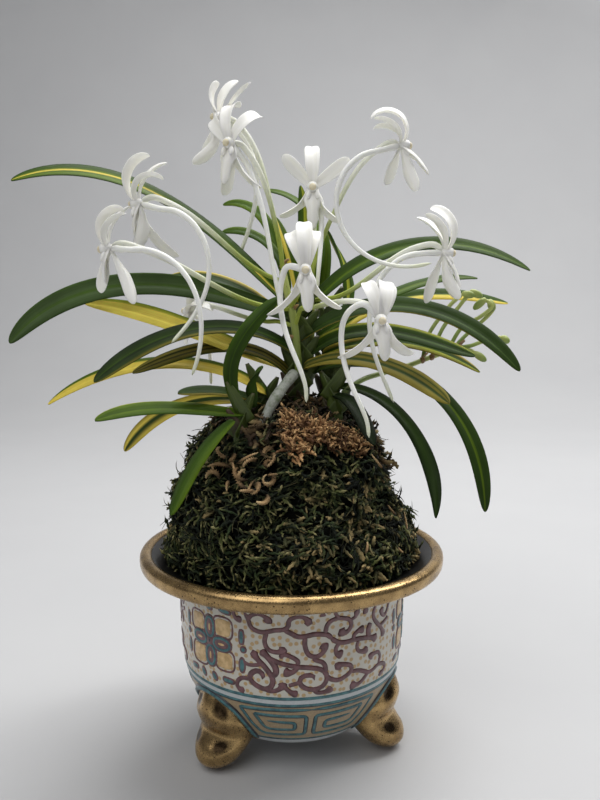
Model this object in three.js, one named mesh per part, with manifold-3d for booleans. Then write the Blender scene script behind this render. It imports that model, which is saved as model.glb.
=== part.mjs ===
// Wind orchid (Vanda falcata) on a moss mound, in its gilt-footed show pot.
// Millimetres, +Z up. The origin is on the pot's axis, on the floor under its feet.
import * as THREE from 'three';
import Module from 'manifold-3d';

const wasm = await Module();
wasm.setup();

// ---------- driving dimensions ----------
const GAP = 0.3;                 // clearance kept between pieces that touch
const RIM_RADIUS = 52.5;         // 3.5-sun pot: 105 mm over the gilt lip
const RIM_TOP = 67.8;
const FLOOR_OF_BODY = 8.2;       // underside of the bowl, carried clear by the feet
const DRAIN_RADIUS = 7;
const FOOT_CIRCLE = 30;          // distance of each foot from the pot's axis
const FOOT_ANGLES = [-137, -18, 101];
const FOOT_SIDES = 12;
const POT_SIDES = 32;

const MOSS_SIDES = 22;
const MOSS_SKIRT = 69;           // above this height the mound's skin is lumpy
const MOSS_TOP = 122;
const MOSS_LIFT = 0.4;           // share of a lump that raises the skin
const CROWN_RADIUS = 20;         // inside it the lumps die away to the mound's crown
const STRAND_ROOT = 2.5;         // depth of each moss strand's root in the mound
const STRAND_DROOP = [-35, 40];
const STRAND_SPREAD = 70;
const SHEATH_STEP = 6;           // rise from one leaf sheath to the next
const SHEATH_OVERLAP = 1.9;      // length of a sheath, in steps
const SHEATH_TAPER = 0.72;
const SHEATH_OFFSET = 0.25;      // of its radius, left and right by turns
const SHEATH_FLATNESS = 0.55;
const SHEATH_LEAN = 12;
const LEAF_THICKNESS = 1.0;
const LEAF_FOLD = 14;
const LEAF_SEGMENT = 9;
const TEPAL_THICKNESS = 0.7;
const TEPAL_STEPS = 4;
const TEPAL_WIDTHS = { dorsal: 4.6, petal: 3.6, sepal: 4.2 };
const LIP_THICKNESS = 1.4;
const LIP_WIDTH = 6;
const USUAL_LIP = [180, 55, 100, 10];
const COLUMN_RADIUS = 1.6;
const COLUMN_REACH = 2.2;
const SPUR_RADIUS = 0.85;
const SPUR_STEPS = 11;
const PEDICEL_STEPS = 8;
const PEDICEL_RADIUS = 0.75;
const THREAD_SIDES = 4;          // spurs and pedicels
const STALK_RADIUS = 1.3;
const STALK_STEPS = 10;
const STALK_SIDES = 7;

const GREEN = 0x3f6b2c;
const DARK_GREEN = 0x26421f;
const STRIPED = 0x8f9a35;
const YELLOW = 0xc9b23a;
const SHEATH_GREEN = 0x5d7434;
const WHITE = 0xf4f3f0;
const STALK_GREEN = 0x9fae62;
const BUD_GREEN = 0x9db35a;
const ROOT_SILVER = 0x8a9482;
const MOSS_GREEN = 0x2f3a1c;
const DRY_BROWN = 0x7a5a3a;
const GLAZE = 0xb9b2a2;

const RAD = Math.PI / 180;

// ---------- solids ----------
// A closed three.js geometry as a manifold solid, its doubled corners merged.
function solidOf(geometry) {
  const place = geometry.attributes.position;
  const order = geometry.index ? geometry.index.array : null;
  const count = order ? order.length : place.count;
  const corners = new Map();
  const points = [];
  const triangles = [];
  for (let i = 0; i < count; i += 1) {
    const v = order ? order[i] : i;
    const p = [place.getX(v), place.getY(v), place.getZ(v)];
    const key = p.map((c) => Math.round(c * 1e4)).join(' ');
    if (!corners.has(key)) {
      corners.set(key, points.length / 3);
      points.push(...p);
    }
    triangles.push(corners.get(key));
  }
  const kept = [];
  let volume = 0;
  for (let i = 0; i < triangles.length; i += 3) {
    const [a, b, c] = triangles.slice(i, i + 3);
    if (a !== b && b !== c && c !== a) {
      kept.push([a, b, c]);
      const [p, q, r] = [a, b, c].map((v) => new THREE.Vector3(...points.slice(3 * v, 3 * v + 3)));
      volume += p.dot(q.cross(r));
    }
  }
  const facingOut = volume < 0 ? kept.map(([a, b, c]) => [a, c, b]) : kept;
  return new wasm.Manifold(new wasm.Mesh({
    numProp: 3,
    vertProperties: new Float32Array(points),
    triVerts: new Uint32Array(facingOut.flat()),
  }));
}

// The largest body of a solid: loose scraps that a cut leaves are dropped.
function largest(solid) {
  const bodies = solid.decompose();
  return bodies.reduce((a, b) => (a.volume() >= b.volume() ? a : b));
}

function fuse(solids) {
  return solids.reduce((all, next) => all.add(next));
}

// A named mesh of a solid, with its own matt, waxy or glazed surface.
function piece(name, solid, color, roughness = 0.6, metalness = 0) {
  const mesh = solid.getMesh();
  const geometry = new THREE.BufferGeometry();
  geometry.setAttribute('position', new THREE.BufferAttribute(mesh.vertProperties, 3));
  geometry.setIndex(new THREE.BufferAttribute(mesh.triVerts, 1));
  geometry.computeVertexNormals();
  const finish = new THREE.MeshStandardMaterial({ color, roughness, metalness, flatShading: true });
  const made = new THREE.Mesh(geometry, finish);
  made.name = name;
  return made;
}

// ---------- growth lines ----------
// Value at t of the parabola through its start, middle and end.
function through([start, middle, end], t) {
  return start * (1 - t) * (1 - 2 * t) + 4 * middle * t * (1 - t) + end * t * (2 * t - 1);
}

// Unit heading for a compass angle from +X and a rise above the level, in degrees.
function heading(azimuth, rise) {
  const a = azimuth * RAD;
  const r = rise * RAD;
  return new THREE.Vector3(Math.cos(r) * Math.cos(a), Math.cos(r) * Math.sin(a), Math.sin(r));
}

// A line that grows from a point, its azimuth and rise turning smoothly on the way.
function growthLine({ from, azimuth, rise, length }, steps = 40) {
  const at = new THREE.Vector3(...from);
  const points = [at.clone()];
  for (let i = 0; i < steps; i += 1) {
    const t = (i + 0.5) / steps;
    at.addScaledVector(heading(through(azimuth, t), through(rise, t)), length / steps);
    points.push(at.clone());
  }
  return points;
}

function onLine(points, t) {
  const s = t * (points.length - 1);
  const i = Math.min(Math.floor(s), points.length - 2);
  return points[i].clone().lerp(points[i + 1], s - i);
}

// A thin box bent along a line: the section at t has a width, and folds up into a V.
function blade(points, frameAt, widthAt, thickness, fold, along, across) {
  const box = new THREE.BoxGeometry(1, 1, 1, across, 1, along);
  const place = box.attributes.position;
  for (let i = 0; i < place.count; i += 1) {
    const t = place.getZ(i) + 0.5;
    const w = place.getX(i) * widthAt(t);
    const { side, face } = frameAt(t);
    const p = onLine(points, t);
    p.addScaledVector(side, w * Math.cos(fold * RAD));
    p.addScaledVector(face, Math.abs(w) * Math.sin(fold * RAD) + place.getY(i) * thickness);
    place.setXYZ(i, p.x, p.y, p.z);
  }
  return solidOf(box);
}

// A round stem along a line: an extruded section of a few sides.
function stem(points, radius, steps, sides) {
  const section = new THREE.Shape();
  for (let i = 0; i < sides; i += 1) {
    const a = (i * 2 * Math.PI) / sides;
    section[i ? 'lineTo' : 'moveTo'](radius * Math.cos(a), radius * Math.sin(a));
  }
  const path = new THREE.CatmullRomCurve3(points, false, 'centripetal');
  return solidOf(new THREE.ExtrudeGeometry(section, { steps, bevelEnabled: false, extrudePath: path }));
}

function thinned(points, count) {
  return Array.from({ length: count }, (_, i) => onLine(points, i / (count - 1)));
}

// A ball drawn out along one heading.
function bead(at, radii, azimuth = 0, rise = 90, sides = 6, rings = 4) {
  const ball = new THREE.SphereGeometry(1, sides, rings);
  ball.rotateX(Math.PI / 2);
  ball.scale(...radii);
  ball.applyQuaternion(new THREE.Quaternion()
    .setFromUnitVectors(new THREE.Vector3(0, 0, 1), heading(azimuth, rise)));
  ball.translate(...at);
  return solidOf(ball);
}

// ---------- pot ----------
// Turned section of the bowl, from the drain hole out, up, over the lip and down inside.
const POT_SECTION = [
  [DRAIN_RADIUS, FLOOR_OF_BODY], [25, FLOOR_OF_BODY], [31, 14], [35, 21], [37.6, 29],
  [38.7, 40], [39, 53], [41, 60], [49.6, 62.4], [52.1, 63.4], [RIM_RADIUS, 65.4], [51, RIM_TOP],
  [48.6, 67.4], [43.6, 65.2], [38, 61], [35.8, 55], [33.6, 30], [27, 18], [DRAIN_RADIUS, 12.6],
  [DRAIN_RADIUS, FLOOR_OF_BODY],
];
// Turned section of a foot: a flat sole, a lower bulge, a waist and an upper bulge.
const FOOT_SECTION = [
  [0, 0], [5.2, 0], [7.4, 1.6], [8.1, 4.6], [7.2, 8.2], [5.9, 10.6], [6.4, 13], [7.4, 17],
  [6.6, 21], [3.6, 24.4], [0, 25.4],
];

function turned(section, sides) {
  const lathe = new THREE.LatheGeometry(section.map(([r, z]) => new THREE.Vector2(r, z)), sides);
  lathe.rotateX(Math.PI / 2);
  return solidOf(lathe);
}

function foot(angle) {
  return turned(FOOT_SECTION, FOOT_SIDES)
    .translate([FOOT_CIRCLE * Math.cos(angle * RAD), FOOT_CIRCLE * Math.sin(angle * RAD), 0]);
}

// One fired and gilded piece: bowl, flared rim and three feet.
const BOWL_SPACE = [[0, 12.6], [DRAIN_RADIUS, 12.6], [27, 18], [33.6, 30], [35.8, 55], [38, 61],
  [43.6, 65.2], [43.6, 90], [0, 90], [0, 12.6]];
const bowlFilling = turned(BOWL_SPACE, POT_SIDES);
const pot = fuse([turned(POT_SECTION, POT_SIDES),
  ...FOOT_ANGLES.map((angle) => foot(angle).subtract(bowlFilling))]);

// ---------- moss mound ----------
// Turned section of the moss: in the bowl, over the flange, and up to the crown.
const MOSS_SECTION = [[0, 13], [6.8, 13], [26.6, 18.4], [33.1, 30.2], [35.2, 55.2], [37.5, 61.5],
  [43.4, 65.9], [46.4, 67.4], [46.6, 70], [44.2, 76.5], [42, 85], [38.6, 94], [33.5, 103],
  [26, 111.5], [15, 117.5], [0, 120.2]];
// Its lumps: how high, how many round it, and over how many millimetres they climb a radian.
const MOSS_LUMPS = [
  { height: 1.7, round: 3, climb: 6, start: 0 },
  { height: 1.5, round: 7, climb: -4, start: 0 },
  { height: 1.1, round: 10, climb: 2.6, start: 90 },
];
const LUMPS_FULL = 12;           // height over the skirt at which the lumps are full
// A hollow in the mound's right side, half way up.
const HOLLOW = { depth: 4, height: 91, spread: 8 };

function lump(angle, z) {
  const full = Math.min(1, Math.max(0, (z - MOSS_SKIRT) / LUMPS_FULL));
  const waves = MOSS_LUMPS.reduce((sum, { height, round, climb, start }) => (
    sum + height * Math.sin(round * angle + z / climb + start * RAD)), 0);
  const level = Math.exp(-(((z - HOLLOW.height) / HOLLOW.spread) ** 2));
  return full * waves - HOLLOW.depth * level * Math.max(0, Math.cos(angle)) ** 2;
}

// The packed moss from the bowl's floor to its crown, its skin moved out by extra.
function mossBody(extra = 0) {
  const section = MOSS_SECTION.map(([r, z]) => new THREE.Vector2(r, z));
  const lathe = new THREE.LatheGeometry(section, MOSS_SIDES);
  lathe.rotateX(Math.PI / 2);
  const place = lathe.attributes.position;
  for (let i = 0; i < place.count; i += 1) {
    const [x, y, z] = [place.getX(i), place.getY(i), place.getZ(i)];
    const r = Math.hypot(x, y);
    const angle = Math.atan2(y, x);
    const above = z > MOSS_SKIRT ? 1 : 0;
    const crown = Math.min(1, r / CROWN_RADIUS);
    const grown = r < 1e-3 ? 0 : r + above * (lump(angle, z) * crown + extra);
    const lift = above * (MOSS_LIFT * lump(angle + 1, z) * crown + extra);
    place.setXYZ(i, grown * Math.cos(angle), grown * Math.sin(angle), z + lift);
  }
  return solidOf(lathe);
}

// Radius of the mound's skin at a height, between the turned section's corners.
function mossRadius(z) {
  const skin = MOSS_SECTION.filter(([, height]) => height > MOSS_SKIRT);
  const upper = Math.max(1, skin.findIndex(([, height]) => height >= z));
  const [[r0, z0], [r1, z1]] = [skin[upper - 1], skin[upper]];
  return r0 + ((r1 - r0) * (z - z0)) / (z1 - z0);
}

// Draws from 0 to 1 that come out the same every time.
function draws(seed) {
  let state = seed;
  return () => {
    state = (state * 16807) % 2147483647;
    return state / 2147483647;
  };
}

// A strand of moss: a slim three-sided cone with its root sunk in the mound.
function strand(at, azimuth, rise, length, radius) {
  const cone = new THREE.ConeGeometry(radius, length, 3);
  cone.rotateX(Math.PI / 2);
  cone.translate(0, 0, length / 2 - STRAND_ROOT);
  cone.applyQuaternion(new THREE.Quaternion()
    .setFromUnitVectors(new THREE.Vector3(0, 0, 1), heading(azimuth, rise)));
  cone.translate(...at);
  return solidOf(cone);
}

// Strands over the mound, pointing out and drooping, by one seeded rule.
function strands({ count, seed, heights: [low, high], around: [from, span], lengths, radius }) {
  const draw = draws(seed);
  const between = ([least, most]) => least + (most - least) * draw();
  return Array.from({ length: count }, () => {
    const angle = (from + span * draw()) * RAD;
    const z = between([low, high]);
    const r = mossRadius(z) + lump(angle, z);
    const azimuth = angle / RAD + STRAND_SPREAD * (draw() - 0.5);
    return strand([r * Math.cos(angle), r * Math.sin(angle), z], azimuth, between(STRAND_DROOP),
      between(lengths), radius);
  });
}

// The space, over the front of the mound, that the dry tuft keeps to.
function tuftReach(extra = 0) {
  return bead(TUFT.centre, TUFT.radii.map((r) => r + extra), 0, 90, 12, 8);
}

// ---------- leafy shoots ----------
// A shoot: old leaf sheaths folded over each other, left and right by turns.
function shoot({ at, from, to, facing, size }, extra = 0) {
  const count = Math.max(2, Math.round((to - from) / SHEATH_STEP));
  const sheaths = Array.from({ length: count }, (_, i) => {
    const turn = i % 2 ? 1 : -1;
    const height = SHEATH_STEP * SHEATH_OVERLAP;
    const sheath = new THREE.CylinderGeometry(size + extra, SHEATH_TAPER * size + extra,
      height + 2 * extra, 6);
    sheath.rotateX(Math.PI / 2);
    sheath.scale(1, SHEATH_FLATNESS + extra / (2 * size), 1);
    sheath.rotateY(turn * SHEATH_LEAN * RAD);
    sheath.translate(turn * SHEATH_OFFSET * size, 0, from + (i + 0.9) * ((to - from) / count));
    sheath.rotateZ(facing * RAD);
    sheath.translate(at[0], at[1], 0);
    return solidOf(sheath);
  });
  return fuse(sheaths);
}

// Across and up directions of a leaf at t, level to start with and rolled about its line.
function leafFrame({ azimuth, rise, roll }) {
  return (t) => {
    const a = through(azimuth, t) * RAD;
    const r = through(rise, t) * RAD;
    const level = new THREE.Vector3(-Math.sin(a), Math.cos(a), 0);
    const up = new THREE.Vector3(-Math.sin(r) * Math.cos(a), -Math.sin(r) * Math.sin(a), Math.cos(r));
    const turn = roll * RAD;
    return {
      side: level.clone().multiplyScalar(Math.cos(turn)).addScaledVector(up, -Math.sin(turn)),
      face: up.clone().multiplyScalar(Math.cos(turn)).addScaledVector(level, Math.sin(turn)),
    };
  };
}

// A leaf's width at t: narrow at its sheath, full by a third, rounded in to a blunt tip.
function leafWidth(width, t) {
  const opening = Math.min(1, 0.7 + t);
  const closing = Math.max(0, (t - 0.6) / 0.4);
  return width * opening * Math.sqrt(1 - 0.96 * closing ** 2.4);
}

function leaf(spec, extra = 0) {
  const steps = Math.max(4, Math.round(spec.length / LEAF_SEGMENT));
  return blade(growthLine(spec), leafFrame(spec), (t) => leafWidth(spec.width, t) + 2 * extra,
    LEAF_THICKNESS + 2 * extra, spec.fold ?? LEAF_FOLD, steps, 2);
}

// ---------- blooms ----------
// A bloom's own directions: out of its face, across it and up it.
function bloomFrame([azimuth, rise]) {
  const out = heading(azimuth, rise);
  const across = new THREE.Vector3(0, 0, 1).cross(out).normalize();
  return { out, across, up: out.clone().cross(across) };
}

// A tepal: it leaves the centre at a clock angle, opens from the bloom's axis and curls back;
// on the way it sweeps round to another clock angle and twists about its own line.
function tepal(centre, frame, [clock, opening, curl, length, twist = 0, sweep = 0], form, extra) {
  const radial = (t) => frame.up.clone().multiplyScalar(Math.cos((clock + sweep * t) * RAD))
    .addScaledVector(frame.across, Math.sin((clock + sweep * t) * RAD));
  const along = (t) => {
    const angle = (opening + (curl - opening) * t) * RAD;
    return frame.out.clone().multiplyScalar(Math.cos(angle)).addScaledVector(radial(t), Math.sin(angle));
  };
  const directions = (t) => {
    const side = frame.out.clone().cross(radial(t));
    const face = side.clone().cross(along(t));
    const turn = twist * Math.min(1, 2 * t) * RAD;
    return {
      side: side.clone().multiplyScalar(Math.cos(turn)).addScaledVector(face, Math.sin(turn)),
      face: face.clone().multiplyScalar(Math.cos(turn)).addScaledVector(side, -Math.sin(turn)),
    };
  };
  const at = new THREE.Vector3(...centre);
  const points = [at.clone()];
  const steps = 24;
  for (let i = 0; i < steps; i += 1) {
    at.addScaledVector(along((i + 0.5) / steps), (length + 1) / steps);
    points.push(at.clone());
  }
  return blade(points, directions, (t) => form.widthAt(t) + 2 * extra, form.thickness + 2 * extra,
    0, TEPAL_STEPS, 1);
}

// Spoon-shaped outline of a tepal: narrow claw, widest past the middle, round tip.
function tepalWidth(width) {
  return (t) => width * (0.5 + 0.5 * Math.sin((Math.min(1, t / 0.62) * Math.PI) / 2))
    * Math.sqrt(1 - 0.9 * Math.max(0, (t - 0.62) / 0.38) ** 2);
}

// Outline of the lip: two side lobes near its base, then a narrower tongue.
function lipWidth(t) {
  return LIP_WIDTH * (0.62 + 0.38 * Math.cos(Math.min(1, Math.abs(t - 0.25) / 0.4) * Math.PI))
    * Math.sqrt(1 - 0.8 * Math.max(0, (t - 0.6) / 0.4) ** 2);
}

// A bloom in one piece: tepals, three-lobed lip, column, long spur and its pedicel.
function bloom({ centre, facing, tepals, lip = USUAL_LIP, spur, pedicel, joint }, extra = 0) {
  const frame = bloomFrame(facing);
  const heart = new THREE.Vector3(...centre);
  const parts = Object.entries(tepals).map(([kind, shape]) => tepal(centre, frame, shape,
    { widthAt: tepalWidth(TEPAL_WIDTHS[kind.split('_')[0]]), thickness: TEPAL_THICKNESS }, extra));
  parts.push(tepal(centre, frame, lip, { widthAt: lipWidth, thickness: LIP_THICKNESS }, extra));
  parts.push(bead(heart.clone().addScaledVector(frame.out, COLUMN_REACH / 2).toArray(),
    [COLUMN_RADIUS + extra, COLUMN_RADIUS + extra, COLUMN_REACH + extra], ...facing));
  const spurLine = thinned([heart, ...growthLine(spur)], 12);
  parts.push(stem(spurLine, SPUR_RADIUS + extra, SPUR_STEPS, THREAD_SIDES));
  const pedicelLine = thinned([heart, ...growthLine(pedicel), new THREE.Vector3(...joint)], 12);
  parts.push(stem(pedicelLine, PEDICEL_RADIUS + extra, PEDICEL_STEPS, THREAD_SIDES));
  return fuse(parts);
}

// ---------- the plant's own measures ----------
// Six shoots rise from the moss; each leaf, stalk and bloom below belongs to one of them.
const SHOOTS = {
  main: { at: [3, -2], from: 113, to: 150, facing: 0, size: 4 },
  rear_left: { at: [1, 9], from: 113, to: 154, facing: 20, size: 3.2 },
  rear_right: { at: [13, 9], from: 112, to: 147, facing: -15, size: 3.2 },
  left: { at: [-9.5, -10], from: 108, to: 122, facing: 15, size: 3.4 },
  front: { at: [-16, -20.5], from: 104, to: 117, facing: 35, size: 3.2 },
  right: { at: [14.5, -9.5], from: 106, to: 123, facing: -25, size: 3.6 },
};

const LEAVES = {
  main: [
    { name: 'leaf_left_top', from: [0.5, 2, 149], azimuth: [-180, -162, -152],
      rise: [45, 30, -25], length: 105, width: 8, roll: 40, color: STRIPED },
    { name: 'leaf_left_broad', from: [1.5, 0.5, 145.5], azimuth: [-167, -167, -137],
      rise: [22, 1, -50], length: 100, width: 9, roll: 55, color: DARK_GREEN },
    { name: 'leaf_left_middle', from: [3, -4, 132.5], azimuth: [-169, -157, -123],
      rise: [48, -9, -30], length: 77, width: 7, roll: 40, color: DARK_GREEN },
    { name: 'leaf_left_low', from: [1.5, -2.5, 123.5], azimuth: [-180, -164, -151],
      rise: [65, -1, -20], length: 61, width: 6, roll: 40, color: STRIPED },
    { name: 'leaf_left_crown', from: [2.6, 0, 151.5], azimuth: [120, 142, 159],
      rise: [81, 70, 65], length: 31, width: 4.5, roll: 20, color: STRIPED },
    { name: 'leaf_right_top', from: [3.5, 3, 145], azimuth: [4, 11, 8],
      rise: [60, 11, -29], length: 94, width: 7, roll: -45, color: GREEN },
    { name: 'leaf_right_broad', from: [2.5, -2, 138], azimuth: [-14, -7, -37],
      rise: [46, -8, -50], length: 83, width: 7.5, roll: -45, color: DARK_GREEN },
    { name: 'leaf_right_middle', from: [4.5, -1.5, 132.5], azimuth: [12, -2, -2],
      rise: [51, -6, -17], length: 62, width: 7, roll: -45, color: STRIPED },
    { name: 'leaf_right_front', from: [4, -5.5, 129.5], azimuth: [-21, -25, -57],
      rise: [30, -14, -27], length: 55, width: 7, roll: -40, color: STRIPED },
    { name: 'leaf_right_hanging', from: [6.5, -1.5, 127.5], azimuth: [-8, -9, -64],
      rise: [29, -40, -86], length: 90, width: 7, roll: -40, color: GREEN },
  ],
  rear_left: [
    { name: 'leaf_rear_left', from: [-5, 6, 146.5], azimuth: [167, 168, 171],
      rise: [45, 20, -8], length: 44, width: 7, roll: 30, color: DARK_GREEN },
    { name: 'leaf_rear_yellow', from: [0, 7.5, 127.5], azimuth: [-130, -172, -172],
      rise: [20, 22, 4], length: 74, width: 7, roll: 40, color: YELLOW },
    { name: 'leaf_rear_arched', from: [-1.5, 8, 158], azimuth: [125, 148, 172],
      rise: [62, 58, -18], length: 43, width: 5, roll: 20, color: GREEN },
    { name: 'leaf_rear_small', from: [-1.5, 4.5, 155.5], azimuth: [150, 172, 178],
      rise: [87, 44, -16], length: 35, width: 4.5, roll: 20, color: GREEN },
    { name: 'leaf_rear_bowed', from: [5.5, 10.5, 152.5], azimuth: [7, 117, 190],
      rise: [67, 62, 0], length: 53, width: 5, roll: 0, color: GREEN },
    { name: 'leaf_rear_upright', from: [4, 10, 156], azimuth: [84, 91, 128],
      rise: [76, 78, 74], length: 38, width: 4.5, roll: 0, color: GREEN },
  ],
  rear_right: [
    { name: 'leaf_back_narrow', from: [9, 4.5, 139.5], azimuth: [12, 20, 18],
      rise: [33, 21, -5], length: 67, width: 5, roll: -30, color: GREEN },
    { name: 'leaf_back_yellow', from: [12, 8, 136.5], azimuth: [30, 20, 20],
      rise: [50, 7, -10], length: 81, width: 6, roll: -45, color: YELLOW },
    { name: 'leaf_back_low', from: [10.5, 4, 133.5], azimuth: [8, 8, 8],
      rise: [26, -8, -32], length: 60, width: 6, roll: -40, color: YELLOW },
    { name: 'leaf_back_upright', from: [10.5, 12, 152.5], azimuth: [55, 82, 107],
      rise: [71, 71, 74], length: 26, width: 4, roll: 0, color: GREEN },
    { name: 'leaf_back_bowed', from: [18.5, 14, 145.5], azimuth: [42, 124, 206],
      rise: [61, 66, 59], length: 37, width: 4.5, roll: 0, color: STRIPED },
  ],
  left: [
    { name: 'leaf_low_yellow', from: [-8, -14, 122], azimuth: [142, 190, 169],
      rise: [33, -3, -36], length: 78, width: 6, roll: 40, color: YELLOW },
    { name: 'leaf_low_dark', from: [-9.5, -12.5, 118.5], azimuth: [-167, -143, -130],
      rise: [30, 9, -2], length: 32, width: 5, roll: 35, color: DARK_GREEN },
    { name: 'leaf_low_drooping', from: [-11, -8.5, 118], azimuth: [-171, -158, -129],
      rise: [18, -15, -49], length: 50, width: 6, roll: 40, color: STRIPED },
    { name: 'leaf_low_short', from: [-12, -16, 118], azimuth: [-162, -50, 55],
      rise: [73, 75, 36], length: 15, width: 4, roll: 0, color: DARK_GREEN },
  ],
  front: [
    { name: 'leaf_front_low', from: [-14.5, -20, 116], azimuth: [-160, -151, -137],
      rise: [9, 5, -15], length: 49, width: 6, roll: 35, color: GREEN },
    { name: 'leaf_front_upright', from: [-16.5, -21.5, 117], azimuth: [-205, -27, 28],
      rise: [74, 62, 29], length: 47, width: 6, roll: 0, color: DARK_GREEN },
    { name: 'leaf_front_hanging', from: [-17.5, -24, 115], azimuth: [-145, -130, -116],
      rise: [-28, -45, -49], length: 37, width: 5, roll: 30, color: GREEN },
  ],
  right: [
    { name: 'leaf_side_hanging', from: [15.5, -8, 123.5], azimuth: [-40, -30, -115],
      rise: [11, -51, -58], length: 60, width: 6, roll: -35, color: DARK_GREEN },
    { name: 'leaf_side_short', from: [14, -12, 121], azimuth: [-54, -66, -61],
      rise: [12, -29, -47], length: 29, width: 5, roll: -20, color: DARK_GREEN },
  ],
};

// The flower stalks, short and pale, come out of the leaf axils.
const STALKS = {
  flower_stalk_left: [[2.5, -6.2, 128], [1.8, -6.6, 138], [0.5, -6.8, 148], [-1.5, -6.8, 156],
    [-3, -6, 163]],
  flower_stalk_right: [[6.4, 3.2, 128], [6.6, 3.2, 138], [6.8, 3, 148], [6.6, 2.4, 157]],
};

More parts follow.
